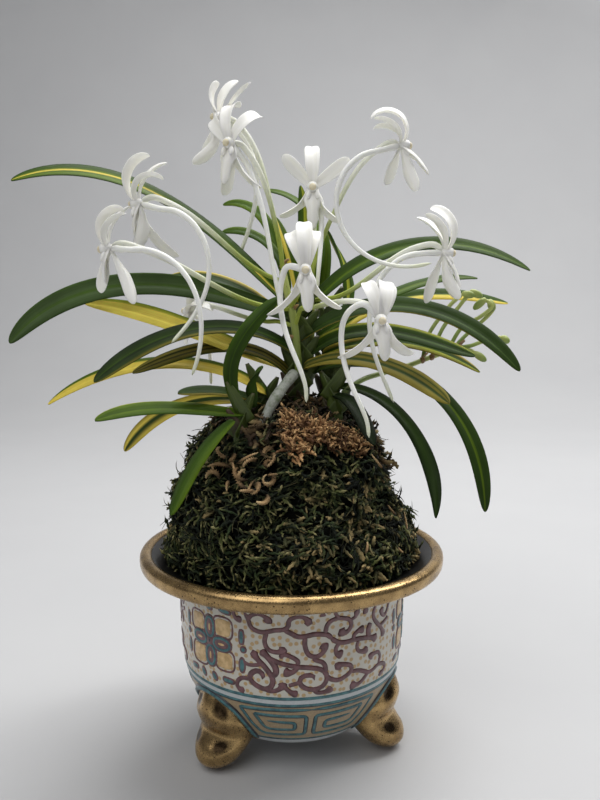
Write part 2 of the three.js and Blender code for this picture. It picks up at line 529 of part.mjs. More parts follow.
// Each tepal: clock angle, opening and curl from the bloom's axis, length, twist and sweep.
const BLOOMS = [
  { name: 'bloom_left_upper', centre: [-47, -18, 182.5], facing: [182, -5],
    tepals: { dorsal: [7, 40, 179, 18, 60], petal_l: [-14, 86, 169, 16, -60],
      petal_r: [25, 56, 226, 15, 60], sepal_l: [-161, 93, 145, 20, 60],
      sepal_r: [167, 112, 50, 14, -60] },
    spur: { from: [-44.5, -19.5, 180], azimuth: [-12, -6, 39], rise: [19, -85, -139], length: 58 },
    pedicel: { from: [-47, -16.5, 185], azimuth: [-11, 19, 16], rise: [-3, -40, -17], length: 52 },
    joint: [-2.2, -6.6, 158.5] },
  { name: 'bloom_left_lower', centre: [-54, -30, 168], facing: [185, -5],
    tepals: { dorsal: [6, 46, 188, 15, 60], petal_l: [-22, 84, 152, 15, -55],
      petal_r: [34, 67, 177, 14, 55], sepal_l: [-166, 74, 67, 13, 60],
      sepal_r: [163, 122, 94, 18, -60] },
    spur: { from: [-51.5, -32.5, 166.5], azimuth: [4, -20, -29], rise: [21, -62, -117], length: 55 },
    pedicel: { from: [-54.5, -30.5, 170], azimuth: [12, 25, 29], rise: [-4, -28, 1], length: 61 },
    joint: [0.2, -6.8, 149.5] },
  { name: 'bloom_top_rear', centre: [-23, -1, 212], facing: [200, 5],
    tepals: { dorsal: [-11, 39, 133, 12, 55], petal_l: [-6, 78, 146, 14, -60],
      petal_r: [34, 110, 128, 14, 50], sepal_l: [-150, 90, 60, 13, 60],
      sepal_r: [172, 99, 23, 19, -60] },
    spur: { from: [-20.5, 2, 211], azimuth: [6, -17, -46], rise: [-37, -93, -121], length: 48 },
    pedicel: { from: [-22.5, 0, 213.5], azimuth: [-7, 1, -104], rise: [-25, -77, -49], length: 56 },
    joint: [-3, -6, 162.8] },
  { name: 'bloom_top_front', centre: [-19, -13, 201.5], facing: [-115, 0],
    tepals: { dorsal: [-11, 69, 188, 20], petal_l: [-44, 76, 147, 14], petal_r: [33, 74, 185, 16],
      sepal_l: [-175, 95, 120, 16, 75, 30], sepal_r: [165, 84, 150, 17, -75, -30] },
    lip: [185, 66, 93, 12],
    spur: { from: [-16, -11.5, 199.5], azimuth: [14, -40, -8], rise: [-62, -76, -76], length: 55 },
    pedicel: { from: [-18, -11.5, 203.5], azimuth: [-14, 31, -47], rise: [-39, -71, -80], length: 43 },
    joint: [-2.6, -6.8, 161.5] },
  { name: 'bloom_centre_upper', centre: [7, -6, 189], facing: [-90, 0],
    tepals: { dorsal: [-1, 67, 160, 16], petal_l: [-44, 91, 79, 13], petal_r: [53, 90, 87, 14],
      sepal_l: [-152, 92, 70, 14, 75, 36], sepal_r: [162, 93, 70, 14, -75, -36] },
    lip: [180, 58, 102, 13],
    spur: { from: [9.5, -3.5, 187.5], azimuth: [-70, -98, -106], rise: [-83, -65, -82], length: 33 },
    pedicel: { from: [7, -5, 188.5], azimuth: [91, 115, 294], rise: [-18, -80, -71], length: 37 },
    joint: [6.6, 2.6, 154] },
  { name: 'bloom_centre_front', centre: [4.5, -34, 161.5], facing: [-90, 0],
    tepals: { dorsal: [-2, 64, 150, 18], petal_l: [-27, 66, 160, 15], petal_r: [15, 67, 160, 15],
      sepal_l: [-161, 84, 100, 17, 75, 36], sepal_r: [158, 89, 81, 15, -75, -36] },
    lip: [176, 57, 101, 12],
    spur: { from: [1.5, -35, 164], azimuth: [145, 122, 183], rise: [-17, -119, -83], length: 47 },
    pedicel: { from: [4.5, -33, 162], azimuth: [95, 99, 115], rise: [-27, -22, -32], length: 28 },
    joint: [-0.2, -6.8, 150.5] },
  { name: 'bloom_right_lower', centre: [26.5, -36, 147], facing: [-82, -5],
    tepals: { dorsal: [6, 74, 150, 14], petal_l: [-33, 76, 140, 14], petal_r: [30, 78, 150, 14],
      sepal_l: [-160, 104, 150, 17, 75, 34], sepal_r: [170, 54, 120, 14, -75, -30] },
    lip: [173, 51, 111, 12],
    spur: { from: [25, -37.5, 150.5], azimuth: [174, 118, 187], rise: [30, -114, -88], length: 50 },
    pedicel: { from: [26.5, -36, 149], azimuth: [131, 137, 111], rise: [35, -8, 4], length: 38 },
    joint: [1.2, -6.8, 144] },
  { name: 'bloom_right_top', centre: [35, -10, 201.5], facing: [-5, 0],
    tepals: { dorsal: [-1, 48, 229, 19, 60], petal_l: [-26, 86, 182, 13, -60],
      petal_r: [16, 75, 212, 14, 60], sepal_l: [-166, 79, 63, 15, 60],
      sepal_r: [147, 116, 99, 13, -60] },
    lip: [178, 32, 59, 12],
    spur: { from: [31.5, -13, 198.5], azimuth: [214, 176, 165], rise: [15, -110, -195], length: 69 },
    pedicel: { from: [35, -9, 204], azimuth: [205, 141, 271], rise: [-19, -58, -71], length: 58 },
    joint: [6.6, 2.4, 157] },
  { name: 'bloom_right_middle', centre: [48.5, -16, 167.5], facing: [-8, 0],
    tepals: { dorsal: [-3, 44, 174, 17, 60], petal_l: [-22, 79, 155, 14, -60],
      petal_r: [20, 92, 161, 15, 55], sepal_l: [-170, 97, 45, 15, 60],
      sepal_r: [158, 119, 95, 17, -60] },
    lip: [180, 51, 82, 12],
    spur: { from: [46, -17, 166.5], azimuth: [180, 190, 150], rise: [20, -83, -115], length: 62 },
    pedicel: { from: [48.5, -17, 169.5], azimuth: [162, 157, 141], rise: [16, -37, 14], length: 49 },
    joint: [6.7, 2.8, 152.5] },
  { name: 'bloom_rear_low', centre: [-37, 21, 148], facing: [170, 20],
    tepals: { dorsal: [5, 60, 170, 14, 55], petal_l: [-50, 85, 150, 13, -40],
      petal_r: [60, 70, 205, 16, 40], sepal_l: [-150, 90, 90, 14, 50],
      sepal_r: [165, 95, 60, 11, -60] },
    spur: { from: [-34.5, 20, 147], azimuth: [-20, -40, -60], rise: [-50, -80, -90], length: 26 },
    pedicel: { from: [-37, 19.3, 151.5], azimuth: [-34, -35, -25], rise: [4, -15, 11], length: 43 },
    joint: [1.2, -6.4, 144] },
];

// The young spray behind the right-hand leaves, its buds still green.
const BUD_STALK = [[16.5, -7, 121.5], [24.1, 0, 125.5], [30.7, 5, 127.2], [41, 10, 129.6],
  [48.9, 13, 132.2], [55.4, 15.5, 134.1], [61, 17, 136]];
const BUDS = [
  { route: [[49, 13, 132.2], [52, 15, 141], [55, 16.5, 149]], azimuth: 20, rise: 35, size: 3.4 },
  { route: [[54, 15, 133.8], [58, 18, 142], [60, 20, 150]], azimuth: 15, rise: 50, size: 3.8 },
  { route: [[58, 16.3, 135], [64, 21, 143], [66, 22, 150]], azimuth: -10, rise: 25, size: 3.6 },
  { route: [[60, 16.8, 135.7], [67, 18, 141], [69, 18, 148]], azimuth: -30, rise: 20, size: 3.4 },
  { route: [[60.5, 16.9, 135.8], [64, 17, 136], [66, 16.6, 134.8]], azimuth: -15, rise: -35, size: 3 },
  { route: [[60.8, 17, 136], [70, 20, 139], [75, 21, 138.6]], azimuth: 0, rise: -10, size: 2.8 },
];
const BUD_RADIUS = 1.3;
const BUD_PEDICEL_RADIUS = 0.6;
const BUD_STALK_RADIUS = 0.9;

// An aerial root, silvery and stout, goes down from the main shoot into the moss.
const ROOT_ROUTE = [[1.2, -5.4, 128.5], [-0.8, -9.8, 126.5], [-3.3, -13, 123.5], [-5.4, -15.6, 120.6],
  [-7.4, -17.4, 116.8], [-9, -18.4, 112]];
const ROOT_RADIUS = 1.6;

// A tuft of dry brown moss lies on the front of the mound, under the shoots.
const TUFT = { centre: [7.5, -27, 109.5], radii: [17.5, 10, 6.5], thickness: 1.8 };
const TUFT_STRANDS = { count: 34, seed: 5, around: [-106, 50], heights: [105, 113],
  lengths: [5.6, 10.4], radius: 1.5 };
const MOSS_STRANDS = { count: 60, seed: 11, around: [0, 360], heights: [73, 114],
  lengths: [6, 11], radius: 1.6 };
const BARE_EDGE = 2;             // clear band round the tuft where no green strand stands

// ---------- assembly ----------
const plant = new THREE.Group();

const stems = Object.entries(SHOOTS).map(([name, spec]) => ({ name, solid: shoot(spec),
  room: shoot(spec, GAP) }));
const stalks = Object.entries(STALKS).map(([name, route]) => {
  const line = route.map((p) => new THREE.Vector3(...p));
  const made = (extra) => stem(line, STALK_RADIUS + extra, STALK_STEPS, STALK_SIDES);
  return { name, solid: made(0), room: made(GAP) };
});

// Later pieces are cut clear of the ones that they clasp or grow from.
const placed = [...stems, ...stalks];
function seat(name, solid, room, color, roughness) {
  const cut = placed.reduce((left, other) => (
    left.intersect(other.solid).volume() > 0 ? largest(left.subtract(other.room)) : left), solid);
  placed.push({ name, solid: cut, room });
  plant.add(piece(name, cut, color, roughness));
}

for (const { name, solid } of stems) {
  plant.add(piece(`shoot_${name}`, solid, SHEATH_GREEN));
}
for (const { name, solid } of stalks) {
  plant.add(piece(name, solid, STALK_GREEN));
}
for (const spec of Object.keys(SHOOTS).flatMap((name) => LEAVES[name])) {
  seat(spec.name, leaf(spec), leaf(spec, GAP), spec.color, 0.45);
}
for (const spec of BLOOMS) {
  seat(spec.name, bloom(spec), bloom(spec, GAP), WHITE, 0.5);
}

function budSpray(extra = 0) {
  const points = (route) => route.map((p) => new THREE.Vector3(...p));
  const parts = [stem(points(BUD_STALK), BUD_STALK_RADIUS + extra, 8, 5)];
  for (const { route, azimuth, rise, size } of BUDS) {
    parts.push(stem(points(route), BUD_PEDICEL_RADIUS + extra, 3, THREAD_SIDES));
    const tip = new THREE.Vector3(...route.at(-1)).addScaledVector(heading(azimuth, rise), 0.7 * size);
    parts.push(bead(tip.toArray(), [BUD_RADIUS + extra, BUD_RADIUS + extra, size + extra], azimuth, rise));
  }
  return fuse(parts);
}
seat('bud_spray', budSpray(), budSpray(GAP), BUD_GREEN, 0.55);

const rootLine = ROOT_ROUTE.map((p) => new THREE.Vector3(...p));
const aerialRoot = (extra) => stem(rootLine, ROOT_RADIUS + extra, 8, 7);
seat('aerial_root', aerialRoot(0), aerialRoot(GAP), ROOT_SILVER, 0.8);

plant.add(piece('pot', pot, GLAZE, 0.25));

// The dry tuft is laid on the mound; the mound is then cut clear of all that stands in it.
const tuft = largest(fuse([mossBody(TUFT.thickness).intersect(tuftReach()),
  ...strands(TUFT_STRANDS)]).subtract(mossBody(GAP)));
const standing = placed.filter(({ room }) => room.boundingBox().min[2] < MOSS_TOP);
const mound = standing.reduce((left, { room }) => left.subtract(room),
  fuse([mossBody(), ...strands(MOSS_STRANDS)
    .filter((one) => one.intersect(tuftReach(BARE_EDGE)).volume() === 0)]));
const clearTuft = standing.reduce((left, { room }) => left.subtract(room), tuft);
plant.add(piece('moss_mound', largest(mound), MOSS_GREEN, 0.95));
plant.add(piece('dry_moss', largest(clearTuft), DRY_BROWN, 0.95));

export default plant;
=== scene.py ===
"""A wind orchid on its moss mound, in a gilt and enamelled three-footed show pot."""

import bmesh
import bpy
import numpy as np
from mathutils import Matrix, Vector


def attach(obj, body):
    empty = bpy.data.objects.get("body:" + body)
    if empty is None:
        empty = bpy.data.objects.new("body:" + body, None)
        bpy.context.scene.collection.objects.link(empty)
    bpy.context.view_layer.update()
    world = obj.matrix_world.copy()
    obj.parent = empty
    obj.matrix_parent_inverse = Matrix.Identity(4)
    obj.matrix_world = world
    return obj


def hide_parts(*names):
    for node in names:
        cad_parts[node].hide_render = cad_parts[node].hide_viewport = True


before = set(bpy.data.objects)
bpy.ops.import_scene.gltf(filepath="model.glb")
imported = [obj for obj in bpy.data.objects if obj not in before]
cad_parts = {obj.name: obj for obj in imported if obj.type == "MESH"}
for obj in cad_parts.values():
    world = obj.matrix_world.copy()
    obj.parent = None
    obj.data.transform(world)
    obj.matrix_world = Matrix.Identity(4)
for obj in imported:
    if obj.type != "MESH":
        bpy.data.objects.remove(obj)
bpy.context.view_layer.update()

# ---------- bowl of the pot ----------
# A thrown bowl with a drain hole, fired pale and dotted all over in soft gold enamel. Its
# foot zone is a tan-gold ground between white bands, for the key fret.
MM = 0.001
SEAM = np.radians(101)       # the patterns' seam runs down behind the rear foot
BODY_RADIUS = 38.7           # one radian round the pot is this long in its patterns
POT_STEPS = 168              # steps round the bowl, the lip and the enamel bands
# Radius and height of places on the bowl, from the drain hole out, up and back inside.
BOWL_FLOOR = [(7, 8.2), (16, 8.2), (23.6, 8.2)]
BODY_PROFILE = [(25, 8.2), (27.4, 9.6), (31, 14), (35, 21), (37.6, 29), (38.5, 36), (38.8, 44),
                (39, 53), (39.6, 57)]
BOWL_UNDER_LIP = [(41, 60), (44.5, 61.5), (49.4, 62.8), (49.4, 64)]
BOWL_INSIDE = [(43.6, 63.8), (37.6, 60.4), (35.8, 55), (33.6, 30), (27, 18), (7, 12.6), (7, 8.2)]
# Heights where the white foot gives way to the tan-gold ground, that to a white band, and
# that to the dotted ground, and half the height that each change takes.
GROUND_EDGES = (11.6, 27.2, 29.75)
EDGE_SOFTNESS = 0.05
GOLD_DOT_STEP = 2.35


def read_off(line, known, wanted):
    """The line's places at the wanted measures, straight between its known ones."""
    return np.stack([np.interp(wanted, known, axis) for axis in line.T], axis=1)


def even_steps(line, count):
    """The line cut into even steps by its length, straight between its places."""
    run = np.concatenate([[0], np.cumsum(np.linalg.norm(np.diff(line, axis=0), axis=1))])
    return read_off(line, run, np.linspace(0, run[-1], count))


def smooth_line(points, count):
    """Runs through the points in order, and is then cut to even steps.

    On each stretch the line is the cubic whose slope at a point is half the step
    between that point's two neighbours."""
    points = np.asarray(points, float)
    before, after = 2 * points[:1] - points[1:2], 2 * points[-1:] - points[-2:-1]
    held = np.concatenate([before, points, after])
    share = np.linspace(0, len(points) - 1, 10 * count)
    first = np.minimum(share.astype(int), len(points) - 2)
    t = (share - first)[:, None]
    a, b, c, d = (held[first + step] for step in range(4))
    line = b + t / 2 * (c - a + t * (2 * a - 5 * b + 4 * c - d + t * (3 * b - a - 3 * c + d)))
    return even_steps(line, count)


def piece(name, parts, finishes, slot, *nodes):
    """Makes one piece out of closed shells, each worked out as a grid of places.

    A part holds points (shells x rows x columns x 3, in mm), and may say loop (the last
    row joins the first), uv (per corner, one more row or column where the grid joins
    up), tone (one number, one a shell or one a place) and finish (its number in
    finishes). Columns always join up into a ring, and a row shrunk to one place closes
    an end. A shell whose volume comes out negative is turned the right way out."""
    corners, faces, uvs, tones, marks = [], [], [], [], []
    start = 0
    for part in parts:
        points = np.asarray(part["points"], float)
        points = points.reshape((-1,) + points.shape[-3:])
        shells, rows, columns = points.shape[:3]
        loop = part.get("loop", False)
        # The places at each face's corners, and the uv places, which don't join up.
        i, j = np.meshgrid(np.arange(rows - 1 + loop), np.arange(columns), indexing="ij")
        turns = [(i, j), (i, j + 1), (i + 1, j + 1), (i + 1, j)]
        quads = np.stack([a % rows * columns + b % columns for a, b in turns], -1).reshape(-1, 4)
        wraps = np.stack([a * (columns + 1) + b for a, b in turns], -1).reshape(-1, 4)
        flat = points.reshape(shells, -1, 3)
        # The volume under a shell's faces, seen from its middle, says which way they point.
        a, b, c, d = (flat[:, quads[:, k]] - flat.mean(1, keepdims=True) for k in range(4))
        volume = (np.cross(c - a, d - b) * (a + b + c + d)).sum((1, 2))
        order = np.where((volume < 0)[:, None], [3, 2, 1, 0], [0, 1, 2, 3])
        uv = part.get("uv")
        if uv is None:
            u, v = np.meshgrid(np.linspace(0, 1, rows + loop), np.linspace(0, 1, columns + 1),
                               indexing="ij")
            uv = np.stack([u, v], -1)
        uv = np.broadcast_to(uv, (shells, rows + loop, columns + 1, 2)).reshape(shells, -1, 2)
        shell = np.arange(shells)[:, None, None]
        face = np.arange(len(quads))[None, :, None]
        numbers = quads[face, order[:, None, :]]
        faces.append((start + shell * rows * columns + numbers).reshape(-1, 4))
        uvs.append(uv[shell, wraps[face, order[:, None, :]]].reshape(-1, 2))
        corners.append(flat.reshape(-1, 3))
        tone = np.asarray(part.get("tone", 0.5), float)
        tone = tone.reshape(shells if tone.size > 1 else 1, -1)
        tones.append(np.broadcast_to(tone, (shells, rows * columns)).ravel())
        marks.append(np.full(shells * len(quads), part.get("finish", 0)))
        start += shells * rows * columns
    mesh = bpy.data.meshes.new(name)
    mesh.from_pydata(np.concatenate(corners) * MM, [], np.concatenate(faces).tolist())
    layer = mesh.uv_layers.new(name="grid")
    layer.data.foreach_set("uv", np.concatenate(uvs).astype(np.float32).ravel())
    tone = mesh.attributes.new("tone", "FLOAT", "POINT")
    tone.data.foreach_set("value", np.concatenate(tones).astype(np.float32))
    mesh.polygons.foreach_set("material_index", np.concatenate(marks).astype(np.int32))
    for finish in finishes:
        mesh.materials.append(finish)
    # Places that meet at closed ends are made one.
    grown = bmesh.new()
    grown.from_mesh(mesh)
    bmesh.ops.remove_doubles(grown, verts=grown.verts, dist=1e-8)
    grown.to_mesh(mesh)
    grown.free()
    mesh.shade_smooth()
    made = bpy.data.objects.new(name, mesh)
    bpy.context.scene.collection.objects.link(made)
    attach(made, "root")
    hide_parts(*nodes)


def turned(section, count):
    """Turns a closed section (radius, height) about the pot's axis, count steps round.

    Its uv is in mm: the way round at the body's radius, and the height."""
    r, z = np.asarray(section, float).T
    turn = SEAM + np.linspace(0, 2 * np.pi, count + 1)
    around = np.stack([np.cos(turn[:-1]), np.sin(turn[:-1])], -1)
    points = np.concatenate([r[:, None, None] * around, np.broadcast_to(
        z[:, None, None], (len(r), count, 1))], -1)
    heights = np.append(z, z[0])
    uv = np.stack(np.broadcast_arrays(BODY_RADIUS * (turn - SEAM), heights[:, None]), -1)
    return {"points": points, "loop": True, "uv": uv}


def colour(red, green, blue):
    """A colour named in the 0 to 255 steps of a screen, as linear light."""
    steps = np.array([red, green, blue]) / 255
    light = np.where(steps <= 0.04045, steps / 12.92, ((steps + 0.055) / 1.055) ** 2.4)
    return (*light.tolist(), 1)


def finish(name):
    """A new material with an empty node tree."""
    made = bpy.data.materials.new(name)
    made.use_nodes = True
    made.node_tree.nodes.clear()
    return made


def node(made, kind, values=None, pick=0, **settings):
    """Adds a node to a finish. Each value fills the input of that name or number, or is
    linked to it if it comes from another node. Returns the node's output."""
    fresh = made.node_tree.nodes.new("ShaderNode" + kind)
    for key, value in settings.items():
        setattr(fresh, key, value)
    for key, value in (values or {}).items():
        if isinstance(value, bpy.types.NodeSocket):
            made.node_tree.links.new(value, fresh.inputs[key])
        else:
            fresh.inputs[key].default_value = value
    return fresh.outputs[pick] if fresh.outputs else None


def between(made, value, low, high):
    """Rises smoothly from 0 where value is low to 1 where it is high."""
    return node(made, "MapRange", {0: value, 1: low, 2: high}, interpolation_type="SMOOTHSTEP")


def maths(made, operation, first, second=0.0):
    """One sum on two values."""
    return node(made, "Math", {0: first, 1: second}, operation=operation)


def plus(made, value, pattern, share):
    """The value plus a share of a pattern."""
    return maths(made, "ADD", value, maths(made, "MULTIPLY", pattern, share))


def spread(made, pattern, low, high, begins=0, ends=1):
    """Runs evenly from low where the pattern begins to high where it ends."""
    return node(made, "MapRange", {0: pattern, 1: begins, 2: ends, 3: low, 4: high})


def mix(made, share, first, second):
    """Two colours, share of the second over the first. Each is another node's, or is
    named in the 0 to 255 steps of a screen."""
    first, second = (colour(*each) if isinstance(each, tuple) else each
                     for each in (first, second))
    return node(made, "Mix", {0: share, 6: first, 7: second}, 2, data_type="RGBA")


def laid_over(made, base, mask, strength, tint):
    """The base with a tint over it: the tint's share is the mask times the strength."""
    return mix(made, maths(made, "MULTIPLY", mask, strength), base, tint)


def place(made, stretch=(1, 1, 1), own_grid=False):
    """Places to read a pattern at, in mm: on the piece itself, or on its own grid."""
    source = (node(made, "UVMap", uv_map="grid") if own_grid
              else node(made, "TexCoord", pick=3))
    scale = np.array(stretch, float) * (1 if own_grid else 1 / MM)
    return node(made, "Mapping", {"Vector": source, "Scale": tuple(scale)})


def noise(made, where, scale, detail=3.0, rough=0.55):
    """Cloudy noise from 0 to 1 with about that many clouds to the mm."""
    return node(made, "TexNoise", {"Vector": where, "Scale": scale, "Detail": detail,
                                   "Roughness": rough})


def coat(made, base, roughness, relief=None, height=0.1, **fixed):
    """Ends a finish: the shader with its colour, roughness, fine relief of a height in mm,
    and its fixed inputs, named with _ for each space."""
    values = {"Base Color": base, "Roughness": roughness}
    values.update({key.replace("_", " "): value for key, value in fixed.items()})
    if relief is not None:
        values["Normal"] = node(made, "Bump", {"Height": relief, "Distance": height * MM,
                                               "Strength": 1.0})
    shader = node(made, "BsdfPrincipled", values)
    node(made, "OutputMaterial", {"Surface": shader})
    return made


def dotted_ground():
    """Pale enamel with soft gold dots; below, the tan-gold fret ground and white bands."""
    made = finish("dotted enamel ground")
    grid = place(made, own_grid=True)
    flow = place(made)
    height = node(made, "SeparateXYZ", {0: grid}, 1)
    cloud = noise(made, flow, 0.12)
    grain = noise(made, flow, 1.6)
    dots = node(made, "TexVoronoi", {"Vector": grid, "Scale": 1 / GOLD_DOT_STEP,
                                     "Randomness": 0.62}, voronoi_dimensions="2D")
    spot = between(made, plus(made, dots, grain, 0.12), 0.41, 0.27)
    pale = mix(made, cloud, (186, 182, 170), (212, 208, 196))
    dotted = laid_over(made, pale, spot, 0.8, (180, 142, 72))
    tan = mix(made, grain, (138, 118, 90), (180, 158, 122))
    white = mix(made, grain, (178, 184, 186), (206, 210, 210))
    ground = white
    for edge, above in zip(GROUND_EDGES, (tan, white, dotted)):
        passed = between(made, height, edge - EDGE_SOFTNESS, edge + EDGE_SOFTNESS)
        ground = mix(made, passed, ground, above)
    return coat(made, ground, spread(made, grain, 0.22, 0.42), plus(made, cloud, spot, 0.35),
                height=0.12, Coat_Weight=0.35, Coat_Roughness=0.12)


BOWL_SECTION = np.concatenate([
    smooth_line([*BOWL_FLOOR, *BODY_PROFILE, *BOWL_UNDER_LIP[:-1]], 60),
    BOWL_UNDER_LIP[-1:], BOWL_INSIDE])
piece("pot_bowl", [turned(BOWL_SECTION, POT_STEPS)], [dotted_ground()], "pot_glaze", "pot")

# ---------- flange and gilt lip ----------
# The flange inside the lip is glazed a glossy black. The lip is a rolled edge, gilded over
# the glaze, and its gold is worn brown, pitted and speckled with age.
FLANGE_STEPS = 128           # steps round the flange
# Radius and height of places round each closed section.
FLANGE = [(35.9, 58), (38.2, 60.9), (43.6, 64.1), (49.2, 66), (49.4, 66.8), (48.6, 66.9),
          (46, 65.9), (43.6, 64.9), (40.5, 63.1), (38, 61.4), (35.6, 58)]
LIP = [(49.4, 62.3), (50.9, 62.3), (52.1, 63.2), (52.46, 65), (52.3, 66.5), (51.4, 67.5),
       (50.1, 67.8), (48.9, 67.4), (48.4, 66.5), (48.8, 64.4), (49.4, 62.3)]


def black_glaze():
    """A glossy black glaze, faintly dusty and a little wavy."""
    made = finish("black glaze")
    flow = place(made)
    dust = noise(made, flow, 0.7, 5.0)
    base = mix(made, between(made, dust, 0.5, 0.8), (15, 14, 14), (52, 49, 45))
    return coat(made, base, spread(made, dust, 0.3, 0.5), noise(made, flow, 0.25),
                Specular_IOR_Level=0.3, Coat_Weight=0.15, Coat_Roughness=0.15)


def own_tone(made):
    """The tone, from 0 to 1, that a piece's places carry."""
    return node(made, "Attribute", pick=2, attribute_name="tone", attribute_type="GEOMETRY")


def old_gold():
    """Gilding worn thin: bright and brown clouds, fine pits and dark specks, and dark
    brown painted shade where the tone is high."""
    made = finish("old gilding")
    flow = place(made)
    cloud = noise(made, flow, 0.16, 5.0)
    grain = noise(made, flow, 1.6, 4.0, 0.7)
    pits = node(made, "TexVoronoi", {"Vector": flow, "Scale": 0.8, "Randomness": 1.0})
    speck = between(made, plus(made, pits, grain, 0.3), 0.36, 0.27)
    worn = maths(made, "MULTIPLY", speck, between(made, cloud, 0.4, 0.55))
    gold = mix(made, between(made, cloud, 0.32, 0.7), (186, 154, 104), (126, 99, 64))
    gold = laid_over(made, gold, grain, 0.45, (198, 172, 124))
    # Painted shade: dark brown where the tone is high, which is deep in the feet's eyes.
    gold = laid_over(made, gold, between(made, own_tone(made), 0.12, 0.6), 0.92, (36, 26, 18))
    base = mix(made, worn, gold, (26, 18, 11))
    relief = maths(made, "SUBTRACT", maths(made, "MULTIPLY", grain, 0.4), worn)
    return coat(made, base, spread(made, grain, 0.17, 0.38, 0.3, 0.7), relief, Metallic=0.92)


gilding = old_gold()
piece("pot_flange", [turned(smooth_line(FLANGE, 36), FLANGE_STEPS)], [black_glaze()],
      "black_glaze", "pot")
piece("pot_lip", [{**turned(smooth_line(LIP, 34), POT_STEPS), "tone": 0}], [gilding], "gilding",
      "pot")

# ---------- feet ----------
# Three feet cast in one with the bowl and gilded: a lower ball, a waist and an upper
# bulge that spreads into the body, with sunken eyes either side of each bulge, darkened by
# painted shade.
FOOT_CIRCLE = 30             # radius of the circle that the feet stand on
FOOT_ANGLES = (-137, -18, 101)
FOOT_HEIGHTS = [0, 0.15, 1.2, 3.0, 5.2, 7.6, 9.8, 12.0, 14.0, 16.6, 19.4, 22.6, 25.4, 27.0]
# How far past the circle each height's oval has its middle, and its half length and width.
FOOT_OUT = [4.2, 4.2, 4.2, 3.5, 2.4, 1.1, -0.3, -1.1, -0.4, 0.8, 2.3, 3.1, 3.2, 3.0]
FOOT_LONG = [2.6, 3.2, 5.2, 7.0, 8.1, 8.5, 8.3, 7.7, 7.8, 7.5, 6.5, 5.0, 3.4, 2.4]
FOOT_WIDE = [2.8, 3.4, 5.4, 7.4, 8.7, 9.8, 10.3, 10.6, 11.0, 11.0, 9.9, 8.4, 5.2, 0.6]
FOOT_ROWS, FOOT_COLUMNS = 56, 56
# Height, turn to either side of straight out, half width, half height and depth of the eyes.
EYES = ((21.6, 44, 2.7, 2.6, 1.6), (8.8, 36, 1.9, 1.7, 0.6))
EYE_CIRCLE = 7.5             # a foot's radius where the eyes' widths are laid off
# Height, and half width in degrees round the pot, of the gilded saddle that each foot
# spreads into.
SADDLE = [(9.0, 23.4), (11.5, 22.5), (15.5, 20.5), (18.9, 18.2), (21.7, 15), (23.6, 10.5),
          (24.9, 5.5), (25.4, 0)]
SADDLE_RELIEF = 0.34         # how far it stands proud
SADDLE_FULL = 5              # half width in degrees under which it stands less proud


def ring(count):
    """Even turns all the way round, in radians."""
    return np.arange(count) * 2 * np.pi / count


def foot(angle):
    """A foot as ovals stacked up, and how deep each place lies in an eye.

    The middle, half length and half width of the ovals change with the height, and bell
    curves press the eyes in."""
    z = FOOT_HEIGHTS[-1] * (1 - np.cos(np.pi * np.linspace(0, 1, FOOT_ROWS))) / 2
    tables = (smooth_line(np.stack([FOOT_HEIGHTS, table], -1), 300)
              for table in (FOOT_OUT, FOOT_LONG, FOOT_WIDE))
    ahead, long, wide = (np.interp(z, *table.T)[:, None] for table in tables)
    turn = ring(FOOT_COLUMNS)
    sunk, press = np.zeros((2, FOOT_ROWS, FOOT_COLUMNS))
    for height, sway, across, tall, depth in EYES:
        for hand in (1, -1):
            off = ((turn - np.radians(hand * sway) + np.pi) % (2 * np.pi) - np.pi) * EYE_CIRCLE
            bell = np.exp(-(off / across) ** 2 - ((z[:, None] - height) / tall) ** 2)
            press = press + depth * bell
            sunk = np.maximum(sunk, bell)
    long, wide = long - press, wide - press
    long[[0, -1]] = wide[[0, -1]] = 0
    out = np.radians(angle)
    x = FOOT_CIRCLE + ahead + long * np.cos(turn)
    y = wide * np.sin(turn)
    return np.stack([x * np.cos(out) - y * np.sin(out), x * np.sin(out) + y * np.cos(out),
                     np.broadcast_to(z[:, None], x.shape)], -1), sunk


def on_body(flat, middle):
    """Lays a flat pattern (mm across, mm up) on the pot's body round a middle angle. Gives
    each place, and the way out there, which is square to the profile's slope."""
    heights = smooth_line(BODY_PROFILE, 200)
    z = flat[..., 1]
    r = np.interp(z, heights[:, 1], heights[:, 0])
    slope = np.interp(z, heights[:, 1], np.gradient(heights[:, 0], heights[:, 1]))
    turn = np.radians(middle) + flat[..., 0] / BODY_RADIUS
    along, up = np.stack([np.cos(turn), np.sin(turn)]), 1 / np.hypot(1, slope)
    here = np.stack([r * along[0], r * along[1], z], -1)
    out = np.stack([along[0] * up, along[1] * up, -slope * up], -1)
    return here, out


def saddle(angle):
    """The gilded skin a foot spreads into: a lens laid on the body, its half width
    following the saddle's table and its height the sine of the turn round it."""
    edge = smooth_line(SADDLE, 26)
    turn = ring(24)
    across = np.radians(edge[:, 1:]) * BODY_RADIUS * np.cos(turn)
    here, out = on_body(np.stack(np.broadcast_arrays(across, edge[:, :1]), -1), angle)
    proud = SADDLE_RELIEF * np.sin(turn) * np.minimum(1, edge[:, 1:] / SADDLE_FULL)
    return here + out * proud[..., None]


# Each foot's tone is how deep its places lie in an eye, where the gilding paints shade.
feet, sunk = zip(*(foot(angle) for angle in FOOT_ANGLES))
piece("pot_feet", [{"points": np.stack(feet), "tone": np.stack(sunk)},
                   {"points": np.stack([saddle(angle) for angle in FOOT_ANGLES]), "tone": 0}],
      [gilding], "gilding", "pot")

